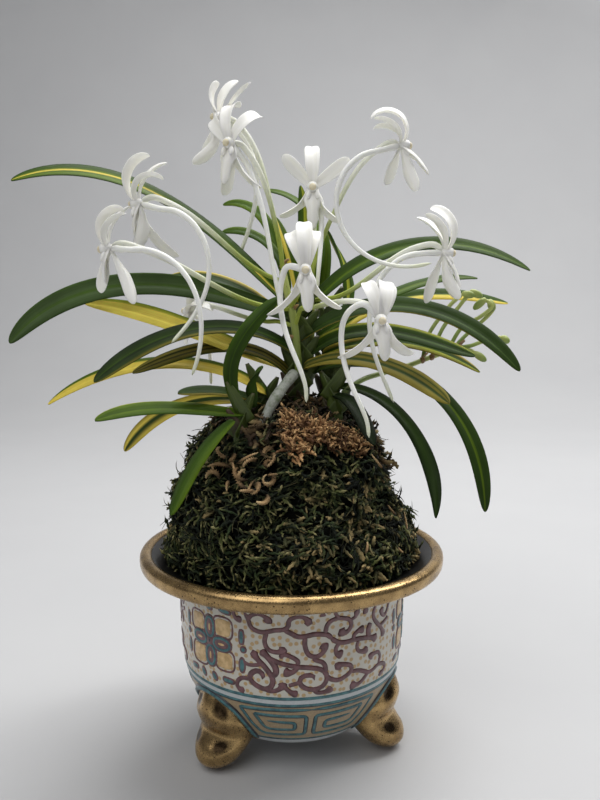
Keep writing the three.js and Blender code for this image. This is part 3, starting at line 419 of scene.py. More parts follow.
# ---------- enamel lines: scrolls, medallions, bands and key fret ----------
# The painter lays thick maroon enamel in arabesque scrolls, with a lobed medallion over
# each foot, teal dashes beside it, and teal bands and a key fret below. Fired, it stands proud.
PANEL_MIDDLES = (-72.3, 47.7, 167.7)
STROKE_ROWS, STROKE_COLUMNS = 29, 6
STROKE_SWELL = 1.28          # the fired strokes spread to this many times their brushed width
CLUB_MIDDLE, CLUB_REACH = 1.0, 1.2     # mm before a stroke's end, and mm either way
# Half width, size of the club it ends in, and places (across the panel, up) of each stroke.
SCROLLS = [
    (0.55, 0.6, (-29.8, 58.2), (-29.9, 56.4), (-29.1, 55), (-27.2, 54.8)),
    (0.62, 0.9, (-26.4, 58.4), (-25.1, 55.4), (-24.5, 53.1), (-22.5, 51.8), (-20, 51.6),
     (-17, 52.4), (-13.9, 52.8), (-12.6, 54), (-12.4, 55.8), (-10.6, 57), (-8.4, 57), (-6.6, 55.6),
     (-6.7, 53.6)),
    (0.58, 0.8, (-25.1, 55.2), (-24, 56.8), (-22, 57.5), (-20, 57), (-18.9, 55.8), (-19.1, 54.4)),
    (0.6, 0.7, (-19.2, 51.8), (-19.8, 49.9), (-19.9, 48.1), (-18.8, 46.1), (-16.5, 45.4),
     (-14.7, 45.8), (-13.8, 47.2)),
    (0.66, 0, (-14.2, 52.8), (-12, 51.7), (-9.7, 50.5), (-7.5, 50.5), (-4.7, 51), (-1.6, 50.7),
     (-0.2, 50.2), (1.2, 48.8)),
    (0.62, 0.9, (-7.4, 50.4), (-7.6, 48.1), (-7.1, 45.8), (-6, 44.2), (-3.8, 43.7), (-2, 44.7),
     (-1.4, 46.2), (-2.2, 47.8)),
    (0.5, 0.5, (-2.3, 58.4), (-2.2, 57.6), (-2.2, 56.6)),
    (0.72, 0.8, (-20.9, 36), (-20.6, 37.6), (-22.2, 38.8), (-24.1, 38), (-25, 36.2), (-24, 34.6),
     (-22, 33.4), (-19.7, 32.9), (-18, 34), (-17.5, 36.2), (-18.4, 38.2), (-20.4, 40.8),
     (-21.9, 42.2), (-23.1, 43.6), (-23.8, 45.6)),
    (0.5, 0, (-27.2, 41.2), (-25.2, 40.4), (-22.9, 40.6), (-20.8, 41.2)),
    (0.8, 0.3, (-18, 37.4), (-16.6, 38.4), (-16.6, 40.2), (-17.8, 42.2), (-19.6, 44.2),
     (-21.4, 45.6)),
    (0.66, 0, (-19.3, 44), (-17, 42.6), (-14.3, 41.6), (-11.5, 41), (-9.3, 40.6), (-6.5, 40.3),
     (-3.4, 39.7), (-1.4, 38.6), (-0.4, 36.6), (-0.8, 34.9), (-2, 33.5), (-4.3, 32.8),
     (-6.5, 33.1), (-8.4, 34.2), (-9.2, 35.9), (-8.4, 37.3), (-6.5, 37.8), (-4.8, 37.3),
     (-4.4, 35.8)),
    (0.6, 0, (-15.3, 43.4), (-14, 44.7), (-11.6, 43.9), (-9.8, 42.6), (-9.8, 41.2)),
    (0.66, 0.7, (-9.8, 40.6), (-11, 39.2), (-12.6, 38.8), (-14.2, 39.1)),
    (0.58, 0.5, (-25, 35.6), (-27.5, 35.6), (-29.2, 34.3), (-29.6, 32.6), (-28.6, 31.5),
     (-26.9, 31.3)),
    (0.62, 0.7, (-20.4, 33), (-18.4, 32.3), (-16.1, 32.8), (-14.6, 34.1), (-14.5, 35.6)),
    (0.6, 0.5, (-14.2, 34.6), (-12.8, 32.9), (-11.2, 31.8), (-9.6, 31.5)),
    (0.55, 0, (-12.6, 34.4), (-11, 34.9), (-9.2, 35.4)),
    (0.6, 0.5, (-4.6, 32.7), (-3.4, 31.6), (-1.5, 31.5), (0.2, 31.9), (1.4, 32.9)),
    (0.6, 0, (-5.1, 43.3), (-3.8, 42.4), (-2, 41.6), (-1.1, 40.2), (-0.9, 38.2)),
    (0.66, 0.8, (0.6, 49.6), (1.4, 48.6), (3.4, 47.4), (6.1, 47), (8.8, 47.2), (12, 46.9),
     (15.2, 46.3), (18.8, 45.1)),
    (0.62, 1.0, (-1.2, 50.5), (-0.8, 53.1), (0.4, 54.7), (2.5, 55.4), (4.7, 55.1), (7, 54.1),
     (7.6, 52.2), (6.6, 50.6), (4.8, 50.3), (3.4, 51.6)),
    (0.5, 0, (1.5, 58.2), (2.2, 56.6), (3.4, 55.2)),
    (0.5, 0.5, (7.2, 54), (8.8, 54.6), (9.4, 56), (9, 57.2)),
    (0.5, 0.5, (12.7, 57), (12.8, 56.2), (13, 54.8)),
    (0.62, 0.6, (17.2, 56.8), (16.5, 54), (17.2, 51.7), (18.8, 49.9), (20.4, 48.3), (21.5, 46.4),
     (22.2, 44.6)),
    (0.55, 0, (19.8, 48.8), (22.2, 49.6), (24.4, 50.6)),
    (0.58, 0.5, (24.4, 56), (23.9, 53.6), (22.6, 51.8), (20.9, 52.7), (20.4, 55)),
    (0.6, 0.6, (8.4, 47.2), (8.9, 48.8), (10.5, 49.8), (12.8, 49.9)),
    (0.85, 0, (15.4, 51.2), (14.5, 49.2), (14.8, 46.8)),
    (0.58, 0.8, (3.5, 47.2), (2.4, 45.6), (2.7, 44), (4.8, 43.1)),
    (0.55, 0.6, (10.6, 46.7), (10, 44.9), (10.6, 43.1), (12.8, 42.4), (14.5, 43.2)),
    (0.64, 0.9, (-0.8, 37.4), (0.6, 35.8), (3.4, 34.9), (6.1, 35.7), (7.9, 37), (7.8, 38.7),
     (6.1, 39.6), (3.9, 39.8), (2.2, 38.6)),
    (0.6, 0.5, (7.8, 36.7), (10.6, 36.5), (12.9, 35.6), (15.2, 34.5), (17.5, 34.8), (19.9, 35.7),
     (22.5, 35.1), (23.9, 33.9), (22.9, 32.3), (20.4, 31.6)),
    (0.62, 0.8, (15, 34.6), (12.9, 32.6), (10.6, 31.6), (7.7, 32)),
    (0.55, 0.7, (19.9, 36.1), (20.5, 38.4), (19.3, 40.1), (16.6, 40.1), (15.1, 39)),
]
# The medallion over each foot: four gilt quarters and four petals (across, up, half width,
# half height), with dashes round it (and their squareness and lean).
MEDALLION_TURN = -59.2       # degrees from the middle of a panel
QUARTERS = [(-6.0, 50.2, 3.0, 2.8), (5.4, 50.6, 3.1, 2.9), (-5.2, 39.6, 3.3, 3.0),
            (6.0, 39.9, 3.1, 2.8)]
PETALS = [(0, 49.8, 2.5, 3.9), (0.2, 40.4, 2.6, 3.9), (-4.8, 45.2, 3.8, 2.5),
          (4.9, 45.1, 3.9, 2.6)]
DASHES = [(12.4, 49, 0.75, 2.3, 0.7, 0), (13, 45, 0.85, 0.85, 1, 0), (12.5, 39.8, 0.95, 2.4, 1, 0),
          (-12.2, 49.1, 0.75, 2.3, 0.7, 0), (-12, 45, 0.85, 0.85, 1, 0),
          (-11.6, 40, 0.95, 2.4, 1, 0), (-3.8, 33.4, 0.9, 1.4, 1, 24),
          (1.5, 33.4, 0.95, 1.4, 1, 24), (7.2, 33.4, 2.1, 0.8, 0.7, -4),
          (-9, 33.6, 1.9, 0.8, 0.7, 6), (0.4, 56.4, 1.2, 0.75, 1, -8),
          (6.7, 56.6, 2.2, 0.85, 0.8, -10)]
HUB_HEIGHT = 45.1
RING_MARGIN = 0.75           # how far outside a quarter, or inside a petal, its ring runs
PETAL_MARGIN, DASH_MARGIN = 0.35, 0.4  # how far the maroon ground shows round them
SLIM, FULL = 0.2, 0.4        # shares of a petal that its gilt middle takes, across and along
LOOP_ROWS = 44
# Half of the key fret: degrees from the bar in its middle, and height.
KEY_TURN = -7.3
KEY = [(-0.8, 25.4), (20, 25.5), (36.8, 24.9), (34.4, 22.2), (32, 18.7), (28.2, 15.2),
       (25.4, 14.5), (3.1, 14.5), (2.4, 15.2), (2.4, 22.5), (3.1, 22.9), (29.4, 23.2), (27.4, 21),
       (25, 17.7), (22.4, 17), (8.6, 17), (8.2, 17.4), (8.2, 20), (8.8, 20.2), (23.2, 20.7)]
KEY_ROWS = 150
KEY_SHADOW = [0, 0.16]       # the dark outline lies this far below the teal one, so it also shows as painted shadow
# How the edging round a foot's saddle outgrows it: in height, and in width.
EDGING_GROWTH = [1.03, 1.07]
# Height and half height of each teal band, and how far its dark edge is let down.
BANDS = ((29.8, 0.62, -0.14), (27.3, 0.62, 0.1), (12.2, 0.34, 0.1))
BAND_RELIEF, BAND_EDGE_RELIEF, BAND_EDGE_MARGIN = 0.26, 0.18, 0.12


def unit(vectors):
    """The vectors at length 1."""
    return vectors / np.linalg.norm(vectors, axis=-1, keepdims=True)


def sweep(lines, side, face, wide, deep, columns):
    """Carries an oval along each line: place + side * wide * cos(turn) + face * deep *
    sin(turn), with the half width and half depth of each row."""
    turn = ring(columns)
    return (lines[..., None, :]
            + (wide * np.cos(turn))[..., None] * side[..., None, :]
            + (deep * np.sin(turn))[..., None] * face[..., None, :])


def blunt_ends(rows, pace):
    """1 along a line, and less near both its ends: the square root of pace times the
    share of the line that is left."""
    t = np.linspace(0, 1, rows)
    return np.minimum(1, np.sqrt(np.minimum(t, 1 - t) * pace))


def brush_lines(flat, middle, width, relief):
    """Rounded strokes of enamel along flat lines; width is the half width of all rows or
    of each, and the stroke narrows to nothing at both ends."""
    here, out = on_body(flat, middle)
    side = unit(np.cross(np.gradient(here, axis=-2), out))
    ends = blunt_ends(flat.shape[-2], pace=18)[:, None]
    width = np.broadcast_to(width, flat.shape[:-1])[..., None]
    return {"points": sweep(here, side, out, width * ends, relief * ends, STROKE_COLUMNS)}


def scroll_lines(table):
    """The table's strokes as flat lines, and their half widths, each with a bell-shaped
    club just before its end."""
    flat = np.stack([smooth_line(places, STROKE_ROWS) for _, _, *places in table])
    width, club = np.array([stroke[:2] for stroke in table]).T[..., None]
    run = np.linalg.norm(np.diff(flat, axis=1), axis=-1).sum(1, keepdims=True)
    to_end = run * (1 - np.linspace(0, 1, STROKE_ROWS))
    return flat, STROKE_SWELL * width + club * np.exp(-((to_end - CLUB_MIDDLE) / CLUB_REACH) ** 2)


def enamel(name, dark, light):
    """Thick enamel colour, pooled darker and lighter, with a soft glassy skin."""
    made = finish(name)
    flow = place(made)
    base = mix(made, between(made, noise(made, flow, 0.5, 4.0), 0.3, 0.7), dark, light)
    grain = noise(made, flow, 2.4, 2.0)
    return coat(made, base, spread(made, grain, 0.22, 0.45), grain, height=0.05,
                Coat_Weight=0.3, Coat_Roughness=0.12)


def squared(turn, power):
    """The turn's cosine and sine, squared off: each to the power, with its own sign."""
    return (np.abs(np.cos(turn)) ** power * np.sign(np.cos(turn)),
            np.abs(np.sin(turn)) ** power * np.sign(np.sin(turn)))


def patches(table, middle, relief):
    """Flat drops of enamel: half sizes about a place times the squared-off turn, as closed
    lenses. A row of the table is (across, up, half width, half height, squareness, lean)."""
    tip = np.linspace(0, np.pi, 9)[:, None]
    across, up, wide, tall, square, lean = np.array(table, float).T[..., None, None]
    x, y = squared(ring(20), square)
    x, y = x * np.sin(tip) * wide, y * np.sin(tip) * tall
    lean = np.radians(lean)
    flat = np.stack([across + x * np.cos(lean) - y * np.sin(lean),
                     up + x * np.sin(lean) + y * np.cos(lean)], -1)
    here, out = on_body(flat, middle)
    return {"points": here + out * (relief * np.cos(tip))[..., None]}


def closed_loop(across, up, wide, tall, square):
    """A loop round a place, squared off like a patch, its ends lapping over."""
    x, y = squared(np.linspace(0, 2 * np.pi + 0.4, LOOP_ROWS), square)
    return np.stack([across + wide * x, up + tall * y], -1)


def cornered(points):
    """A line with slightly softened corners through points: it is cut to even steps, and
    each place is averaged with its neighbours, counting twice itself."""
    line = even_steps(np.array(points, float), KEY_ROWS)
    line[1:-1] = (line[:-2] + 2 * line[1:-1] + line[2:]) / 4
    return line


scrolls, teal, dark, golds, middles = [], [], [], [], []
flat, width = scroll_lines(SCROLLS)
for middle in PANEL_MIDDLES:
    scrolls.append(brush_lines(flat, middle, width, relief=0.24))
    hub = middle + MEDALLION_TURN
    # Gilt quarters, each in a maroon ring.
    for x, y, wide, tall in QUARTERS:
        line = closed_loop(x, y, wide + RING_MARGIN, tall + RING_MARGIN, square=0.62)
        scrolls.append(brush_lines(line, hub, width=0.36, relief=0.2))
    golds.append(patches([(*quarter, 0.6, 0) for quarter in QUARTERS], hub, relief=0.2))
    # Maroon petals, each with a teal ring round a gilt middle.
    scrolls.append(patches([(x, y, wide + PETAL_MARGIN, tall + PETAL_MARGIN, 0.9, 0)
                            for x, y, wide, tall in PETALS], hub, relief=0.24))
    for x, y, wide, tall in PETALS:
        line = closed_loop(x, y, wide - RING_MARGIN, tall - RING_MARGIN, square=0.9)
        teal.append(brush_lines(line, hub, width=0.62, relief=0.36))
        across, up = (SLIM, FULL) if tall > wide else (FULL, SLIM)
        middles.append(patches([(x, y, across * wide, up * tall, 1, 0)], hub, relief=0.4))
    # The hub, with a dark dot, and the teal dashes on maroon ones.
    scrolls.append(patches([(0, HUB_HEIGHT, 1.7, 1.7, 1, 0)], hub, relief=0.4))
    dark.append(patches([(0, HUB_HEIGHT, 0.7, 0.8, 1, 0)], hub, relief=0.5))
    scrolls.append(patches([(x, y, wide + DASH_MARGIN, tall + DASH_MARGIN, square, lean)
                            for x, y, wide, tall, square, lean in DASHES], hub, relief=0.2))
    teal.append(patches(DASHES, hub, relief=0.28))
    # Both halves of the key fret.
    for half in (-1, 1):
        line = np.array(KEY)
        line[:, 0] = half * np.radians(line[:, 0]) * BODY_RADIUS
        line = cornered(line)
        teal.append(brush_lines(line, middle + KEY_TURN, width=0.6, relief=0.24))
        # The dark outline under the teal, let down so that it is partly painted shadow.
        dark.append(brush_lines(line - KEY_SHADOW, middle + KEY_TURN, width=0.74, relief=0.16))
# Teal edging up, over and down each foot's saddle, then the bands right round.
for angle in FOOT_ANGLES:
    half = smooth_line(SADDLE, 40) * EDGING_GROWTH
    edge = np.concatenate([half * [1, -1], half[::-1]])[:, ::-1] * [np.radians(BODY_RADIUS), 1]
    edge = smooth_line(edge[::3], 90)
    teal.append(brush_lines(edge, angle, width=0.95, relief=0.85))
    dark.append(brush_lines(edge, angle, width=1.3, relief=0.5))
for height, half, let_down in BANDS:
    r = np.interp(height, *np.array(BODY_PROFILE).T[::-1])
    turn = ring(10)
    for lines, low, size, proud in ((teal, 0, half, BAND_RELIEF),
                                    (dark, let_down, half + BAND_EDGE_MARGIN, BAND_EDGE_RELIEF)):
        section = np.stack([r + proud * np.cos(turn), height - low + size * np.sin(turn)], -1)
        lines.append(turned(section, POT_STEPS))
for name, parts, skin in (
        ("pot_scrolls", scrolls, enamel("maroon enamel", (84, 52, 56), (118, 78, 82))),
        ("pot_teal_lines", teal, enamel("teal enamel", (38, 82, 90), (72, 122, 126))),
        ("pot_dark_outlines", dark, enamel("dark outlines", (24, 26, 34), (48, 48, 56))),
        ("pot_gold_quarters", golds + middles,
         enamel("gold enamel", (184, 150, 96), (222, 190, 138)))):
    piece(name, parts, [skin], "pot_glaze", "pot")

# ---------- moss mound ----------
# Hill moss, wetted and pressed by hand round the roots into a tall mound, that has gone on
# growing: a core coloured near black as painted shade, dark scaly shoots, hair-like stems, and
# olive and tan tips.
GROWTH_DEPTH = 3.3           # how far the growing moss stands off the dark core
# Radius and height of places up the mound.
MOSS_PROFILE = [(33.1, 58), (37.5, 62), (43.4, 65.9), (44.8, 67.2), (45.2, 70), (44, 76.5),
                (42, 85), (38.6, 94), (33.5, 103), (26, 111.5), (15, 117.5), (5, 119.9), (0, 120.2)]
MOUND_FOOT = 66.8            # the profile above this height is the mound that shows
MOUND_SIDE = 30              # inside this radius its side rounds over into its top
TOP_SHARE = 0.97             # nothing is rooted higher up the profile than this share
SWELL_FROM, SWELL_FADE = 69, 12        # height where the swells begin, and mm to their full size
# Size in mm, waves round the mound, mm up per radian, and start of each swell.
LUMPS = ((1.7, 3, 6, 0), (1.5, 7, -4, 0), (1.1, 10, 2.6, np.pi / 2))
HOLLOW = (7.5, 89, 9.5)      # depth, height and reach of the hollow on the right
CORE_ROWS, CORE_COLUMNS = 100, 240
HELD_FROM, MOUND_REACH = 46, 48.6      # strands past the first radius stay inside the second
# The flange's slope starts from a radius and height, and rises by a share.
SLOPE_FROM, SLOPE_HEIGHT, SLOPE_RISE = 43.6, 65.9, 0.44
chance = np.random.default_rng(7)      # every draw comes from here, from top to bottom


def lumps(angle, z):
    """Swells of the mound: three sine waves round it and up it, less a bell-shaped
    hollow on its right, all fading at the rim."""
    wave = sum(size * np.sin(waves * angle + z / rise + start)
               for size, waves, rise, start in LUMPS)
    depth, height, reach = HOLLOW
    dip = depth * np.exp(-((z - height) / reach) ** 2) * np.maximum(0, np.cos(angle)) ** 2
    return (wave - dip) * np.clip((z - SWELL_FROM) / SWELL_FADE, 0, 1)


def mound_place(share, angle, sunk=GROWTH_DEPTH):
    """A place on the mound: share runs up the profile from 0 at the rim to 1 at the top,
    and sunk is how deep it lies under the mound's full size."""
    line = smooth_line(MOSS_PROFILE, 400)
    line = line[line[:, 1] > MOUND_FOOT]
    r, z = (np.interp(share, np.linspace(0, 1, len(line)), axis) for axis in line.T)
    steep = np.clip(r / MOUND_SIDE, 0, 1)
    r = r + lumps(angle, z) * steep - sunk * steep
    z = z - 0.7 * sunk * (1 - steep)
    return np.stack(np.broadcast_arrays(r * np.cos(angle), r * np.sin(angle), z), -1)


def square_to(lines):
    """Two directions square to each line: one in the plane that it bends in, one across."""
    ahead = unit(np.gradient(lines, axis=-2))
    flattest = np.linalg.svd(lines - lines.mean(-2, keepdims=True), full_matrices=False)[2]
    side = unit(np.cross(ahead, flattest[..., 2:, :]))
    return side, np.cross(ahead, side)


def settled(lines):
    """Lays strands over the flange and keeps them inside the lip: past a radius their
    reach closes on its limit, and they stay above the flange's slope."""
    r = np.linalg.norm(lines[..., :2], axis=-1)
    room = MOUND_REACH - HELD_FROM
    closing = HELD_FROM + room * (1 - np.exp(-np.maximum(0, r - HELD_FROM) / room))
    held = np.where(r > HELD_FROM, closing, r)
    flat = lines[..., :2] * (held / np.maximum(r, 1e-6))[..., None]
    floor = np.where(held > SLOPE_FROM, SLOPE_HEIGHT + SLOPE_RISE * (held - SLOPE_FROM), 0)
    return np.concatenate([flat, np.maximum(lines[..., 2], floor)[..., None]], -1)


def rooted(count, low, high, turn=(-180, 180), sunk=0.8, heaps=0):
    """Places drawn evenly over a belt of the mound, or gathered in heaps, and the ways out,
    up and round there. The belt's shares are weighted by the radius that they lie at."""
    shares = np.linspace(low, min(high, TOP_SHARE), 80)
    area = np.cumsum(np.maximum(1, mound_place(shares, 0.0)[:, 0]))
    share = np.interp(chance.random(count) * area[-1], area, shares)
    angle = np.radians(chance.uniform(*turn, count))
    if heaps:
        share = np.clip(np.resize(share[:heaps], count) + chance.normal(0, 0.03, count),
                        0, TOP_SHARE)
        angle = np.resize(angle[:heaps], count) + chance.normal(0, 0.06, count)
    here = mound_place(share, angle)
    up = unit(mound_place(share + 0.01, angle) - here)
    around = unit(mound_place(share, angle + 0.01) - here)
    out = np.cross(around, up)
    return here - sunk * out, out, up, around


def scaly(lines, width, scales, columns, deep=0.8):
    """A leafy shoot: round its stem the corners stand out and in by turns, and change
    places at each row, like lapped scales. Its tip is blunt."""
    side, face = square_to(lines)
    rows = lines.shape[-2]
    t = np.linspace(0, 1, rows)
    body = np.minimum(1, 0.45 + 2.2 * t) * np.sqrt(np.clip(1.02 - t ** 3, 0, 1))
    body[-1] = 0
    turns = (np.arange(rows)[:, None] + np.arange(columns)) % 2
    girth = np.asarray(width)[:, None, None] * (body[:, None] * (1 + scales * (2 * turns - 1)))
    return sweep(lines, side, face, girth, deep * girth, columns)


def strands(roots, length, width, out_at_root, out_at_tip, drop, scales, level=9, rows=8,
            columns=4):
    """Strands from their roots: each runs some way over the mound's skin, leaning out by
    a share at its root and another at its tip, dropping, and bending round; level is how
    far, in radians, it strays from lying level, and 9 is any way at all. Its line is
    root + length * (first * t + (last - first) * t squared / 2)."""
    here, out, up, around = roots
    count = len(here)
    way = np.pi * chance.integers(0, 2, count) + chance.normal(0, level, count)
    swing = way + chance.normal(0, 1, count)
    lean = chance.uniform(0.5, 1.5, (2, count, 1))
    first, last = (unit(up * np.sin(at)[:, None] + around * np.cos(at)[:, None] + out * share
                        - np.array([0, 0, 1.0]) * fall)
                   for at, share, fall in ((way, out_at_root * lean[0], 0.5 * drop),
                                           (swing, out_at_tip * lean[1], drop)))
    t = np.linspace(0, 1, rows)[:, None]
    long = (length * chance.uniform(0.6, 1.4, count))[:, None, None]
    first, last = first[:, None], last[:, None]
    lines = settled(here[:, None] + long * (first * t + (last - first) * t ** 2 / 2))
    return {"points": scaly(lines, width * chance.uniform(0.75, 1.25, count), scales, columns),
            "tone": chance.random(count)}


def own_share(made, pick=0):
    """How far along its own grid a piece's place lies, or across it with pick 1."""
    return node(made, "SeparateXYZ", {0: place(made, own_grid=True)}, pick)


def moss_colour(name, dark, light, tip, tip_share, gloss=0.25):
    """Moss: one tone a strand, blotched, with painted shade darkening it towards its root, and
    another colour at its tip.
    """
    made = finish(name)
    flow = place(made)
    tone, along = own_tone(made), own_share(made)
    grain = noise(made, flow, 3.0)
    blotch = plus(made, noise(made, flow, 0.07), tone, 0.45)
    base = mix(made, between(made, blotch, 0.5, 0.95), dark, light)
    ripe = between(made, plus(made, along, grain, 0.25), 1.05 - tip_share, 1.1)
    base = mix(made, maths(made, "MULTIPLY", ripe, between(made, tone, 0.15, 0.6)), base, tip)
    # Painted shade: each strand darkens to near black towards its root, for the shade deep among
    # the shoots.
    base = laid_over(made, base, between(made, along, 0.55, 0.05), 0.85, (7, 8, 5))
    return coat(made, base, spread(made, grain, 0.55, 0.9), grain, height=0.2,
                Specular_IOR_Level=gloss)


shares = np.linspace(0, 1, CORE_ROWS)[:, None]
crumb = np.clip(chance.normal(0, 0.45, (CORE_ROWS, CORE_COLUMNS)), -0.9, 0.9) * (shares < 0.98)
skin = mound_place(shares, ring(CORE_COLUMNS)[None], GROWTH_DEPTH + 0.6 + crumb)
skin[-1] = skin[-1].mean(0)
inside = skin[:1] * [0.8, 0.8, 1] - [0, 0, 10]
# The core is coloured near black: painted shade for the gaps deep among the shoots.
piece("moss_core", [{"points": np.concatenate([inside.mean(1, keepdims=True) + 0 * inside,
                                               inside, skin])}],
      [moss_colour("moss core in painted shade", (3, 4, 2), (11, 13, 7), (12, 14, 8), 0.2, gloss=0.04)],
      "moss", "moss_mound")
piece("moss_dark_shoots",
      [strands(rooted(3500, 0.0, 1.0), length=7.8, width=0.5, out_at_root=0.5, out_at_tip=-0.1,
               drop=0.3, scales=0.65, level=0.9)],
      [moss_colour("dark moss", (10, 17, 9), (48, 62, 33), (98, 102, 62), 0.3)],
      "moss", "moss_mound")
piece("moss_olive_shoots",
      [strands(rooted(2400, 0.0, 0.9, heaps=380), length=6.0, width=0.5, out_at_root=1.0,
               out_at_tip=0.1, drop=0.5, scales=0.65, level=1.3)],
      [moss_colour("olive moss", (20, 29, 12), (90, 97, 52), (150, 142, 97), 0.4)],
      "moss", "moss_mound")
piece("moss_stems",
      [strands(rooted(1700, 0.05, 0.9), length=9.5, width=0.18, out_at_root=0.5,
               out_at_tip=-0.15, drop=0.15, scales=0.1, level=0.5, rows=9, columns=3)],
      [moss_colour("moss stems", (20, 24, 12), (58, 60, 36), (104, 96, 64), 0.3)],
      "moss", "moss_mound")
piece("moss_ripe_tips",
      [strands(rooted(260, 0.0, 0.75, heaps=50), length=4.2, width=0.62, out_at_root=1.2,
               out_at_tip=0.3, drop=0.8, scales=0.28, rows=9, columns=5),
       strands(rooted(210, 0.0, 0.42, (-95, 10), heaps=34), length=4.8, width=0.7,
               out_at_root=1.2, out_at_tip=0.4, drop=0.7, scales=0.28, rows=9, columns=5)],
      [moss_colour("ripe moss tips", (64, 66, 40), (126, 114, 76), (172, 150, 104), 0.6)],
      "moss", "moss_mound")

# ---------- dry moss ----------
# Round the crown the moss has dried red-brown and crumbles: a tuft of short braided strands
# under the shoots, with tan sprigs and curled scraps of old leaf among it.


def along_headings(start, headings, length):
    """A line that starts at start and adds up even steps along its headings."""
    step = headings * (np.asarray(length, float) / headings.shape[-2])[..., None, None]
    run = np.cumsum(step, axis=-2)
    return np.asarray(start, float)[..., None, :] + np.concatenate([0 * run[..., :1, :], run], -2)


def curled(roots, length, width, curl, lift, scales, stand=0.9, deep=0.8, rows=8, columns=4):
    """Strands that stand off the mound by up to a share and curl: the heading turns in a
    plane of its own at an even rate, through the curl in radians. Lift is how far off the
    mound they start, and deep their thickness as a share of their width."""
    here, out, up, around = roots
    count = len(here)
    way = chance.uniform(-np.pi, np.pi, count)[:, None]
    flat = up * np.sin(way) + around * np.cos(way)
    over = unit(out * chance.uniform(0, stand, (count, 1)) + flat)
    beside = unit(np.cross(over, unit(out + 0.8 * chance.normal(size=(count, 3)))))
    turn = chance.uniform(-curl, curl, count)[:, None] * np.linspace(-0.5, 0.5, rows - 1)
    turn = turn[..., None]
    headings = over[:, None] * np.cos(turn) + beside[:, None] * np.sin(turn)
    lines = settled(along_headings(here + lift * out, headings,
                                   length * chance.uniform(0.6, 1.4, count)))
    return {"points": scaly(lines, width * chance.uniform(0.7, 1.3, count), scales, columns, deep),
            "tone": chance.random(count)}


# The tuft widens and comes down the mound in five steps round its front.
tuft = [curled(rooted(200, 0.64 - 0.03 * step, 0.73 - 0.036 * step,
                      (-97 + 11 * step, -83 + 11 * step)),
               length=4.6, width=0.48, curl=6.0, lift=1.9, scales=0.7, stand=1.0)
        for step in range(5)]
tuft.append(curled(rooted(90, 0.53, 0.62, (-93, -78)), length=4.6, width=0.55, curl=2.5,
                   lift=1.6, scales=0.4))
piece("dry_moss_tuft", tuft,
      [moss_colour("red-brown moss", (84, 56, 34), (164, 120, 78), (204, 166, 116), 0.5)],
      "dry_moss", "dry_moss", "moss_mound")
piece("crown_moss",
      [curled(rooted(700, 0.6, 0.97), length=6, width=0.55, curl=3, lift=0.6, scales=0.35),
       curled(rooted(150, 0.38, 0.7, (-32, 30)), length=5, width=0.62, curl=3, lift=0.8,
              scales=0.35)],
      [moss_colour("brown moss", (30, 25, 15), (78, 62, 40), (112, 90, 60), 0.5)],
      "dry_moss", "moss_mound")
SPRIG, SCRAP = {"rows": 22, "columns": 6}, {"scales": 0.4, "rows": 12, "columns": 6}
piece("tan_sprigs",
      [curled(rooted(22, 0.36, 0.54, (-136, -98)), length=7, width=0.55, curl=5, lift=2.9,
              scales=0.5, stand=0.4, **SPRIG),
       curled(rooted(8, 0.2, 0.7), length=8, width=0.5, curl=2.6, lift=1.8, scales=0.3,
              stand=0.3, **SPRIG),
       curled(rooted(8, 0.1, 0.6, (-60, 0)), length=6, width=0.5, curl=2.2, lift=1.8,
              scales=0.3, stand=0.4, **SPRIG)],
      [moss_colour("tan sprigs", (122, 96, 64), (190, 156, 112), (204, 176, 130), 0.4)],
      "dry_moss", "moss_mound")
piece("dry_scraps",
      [curled(rooted(18, 0.54, 0.68, (-126, -98)), length=5.5, width=0.85, curl=4, lift=2.4,
              stand=0.7, deep=0.4, **SCRAP),
       curled(rooted(40, 0.4, 0.64, (-42, 8)), length=4.8, width=0.9, curl=3, lift=2.4,
              stand=1.4, deep=0.35, **SCRAP),
       curled(rooted(26, 0.6, 0.85), length=5, width=0.9, curl=3, lift=2.2, stand=0.8,
              deep=0.35, **SCRAP)],
      [moss_colour("dry scraps", (52, 38, 26), (120, 98, 66), (150, 134, 92), 0.5)],
      "dry_moss", "moss_mound")

# ---------- leafy shoots ----------
# Each shoot is a fan of leaf bases that clasp each other, left and right by turns, folded
# sharply along the keel. The oldest have dried brown, the young ones are green and brown-tipped.
SHEATH_STEP = 4.6            # from one leaf base up to the next
SHEATH_HEIGHT = 14.5
SHEATH_ROWS, SHEATH_COLUMNS = 18, 16
SHEATH_FOLD, SHEATH_THICKNESS = 52, 1.3
STEM_ROWS, STEM_COLUMNS = 16, 14
# Middle, height of the foot and of the top, the way its fan faces in degrees, and size.
SHOOTS = {
    "main": ((3, -2), 113, 148, 0, 4.0), "rear_left": ((1, 9), 113, 152, 20, 3.2),
    "rear_right": ((13, 9), 112, 147, -15, 3.2), "left": ((-9.5, -10), 108, 122, 15, 3.4),
    "front": ((-16, -20.5), 104, 117, 35, 3.2), "right": ((14.5, -9.5), 106, 123, -25, 3.6),
}


def heading(azimuth, rise):
    """Unit direction for a compass angle from +X and a rise above the level, in degrees."""
    a, r = np.radians(azimuth), np.radians(rise)
    return np.stack([np.cos(r) * np.cos(a), np.cos(r) * np.sin(a), np.sin(r)], -1)


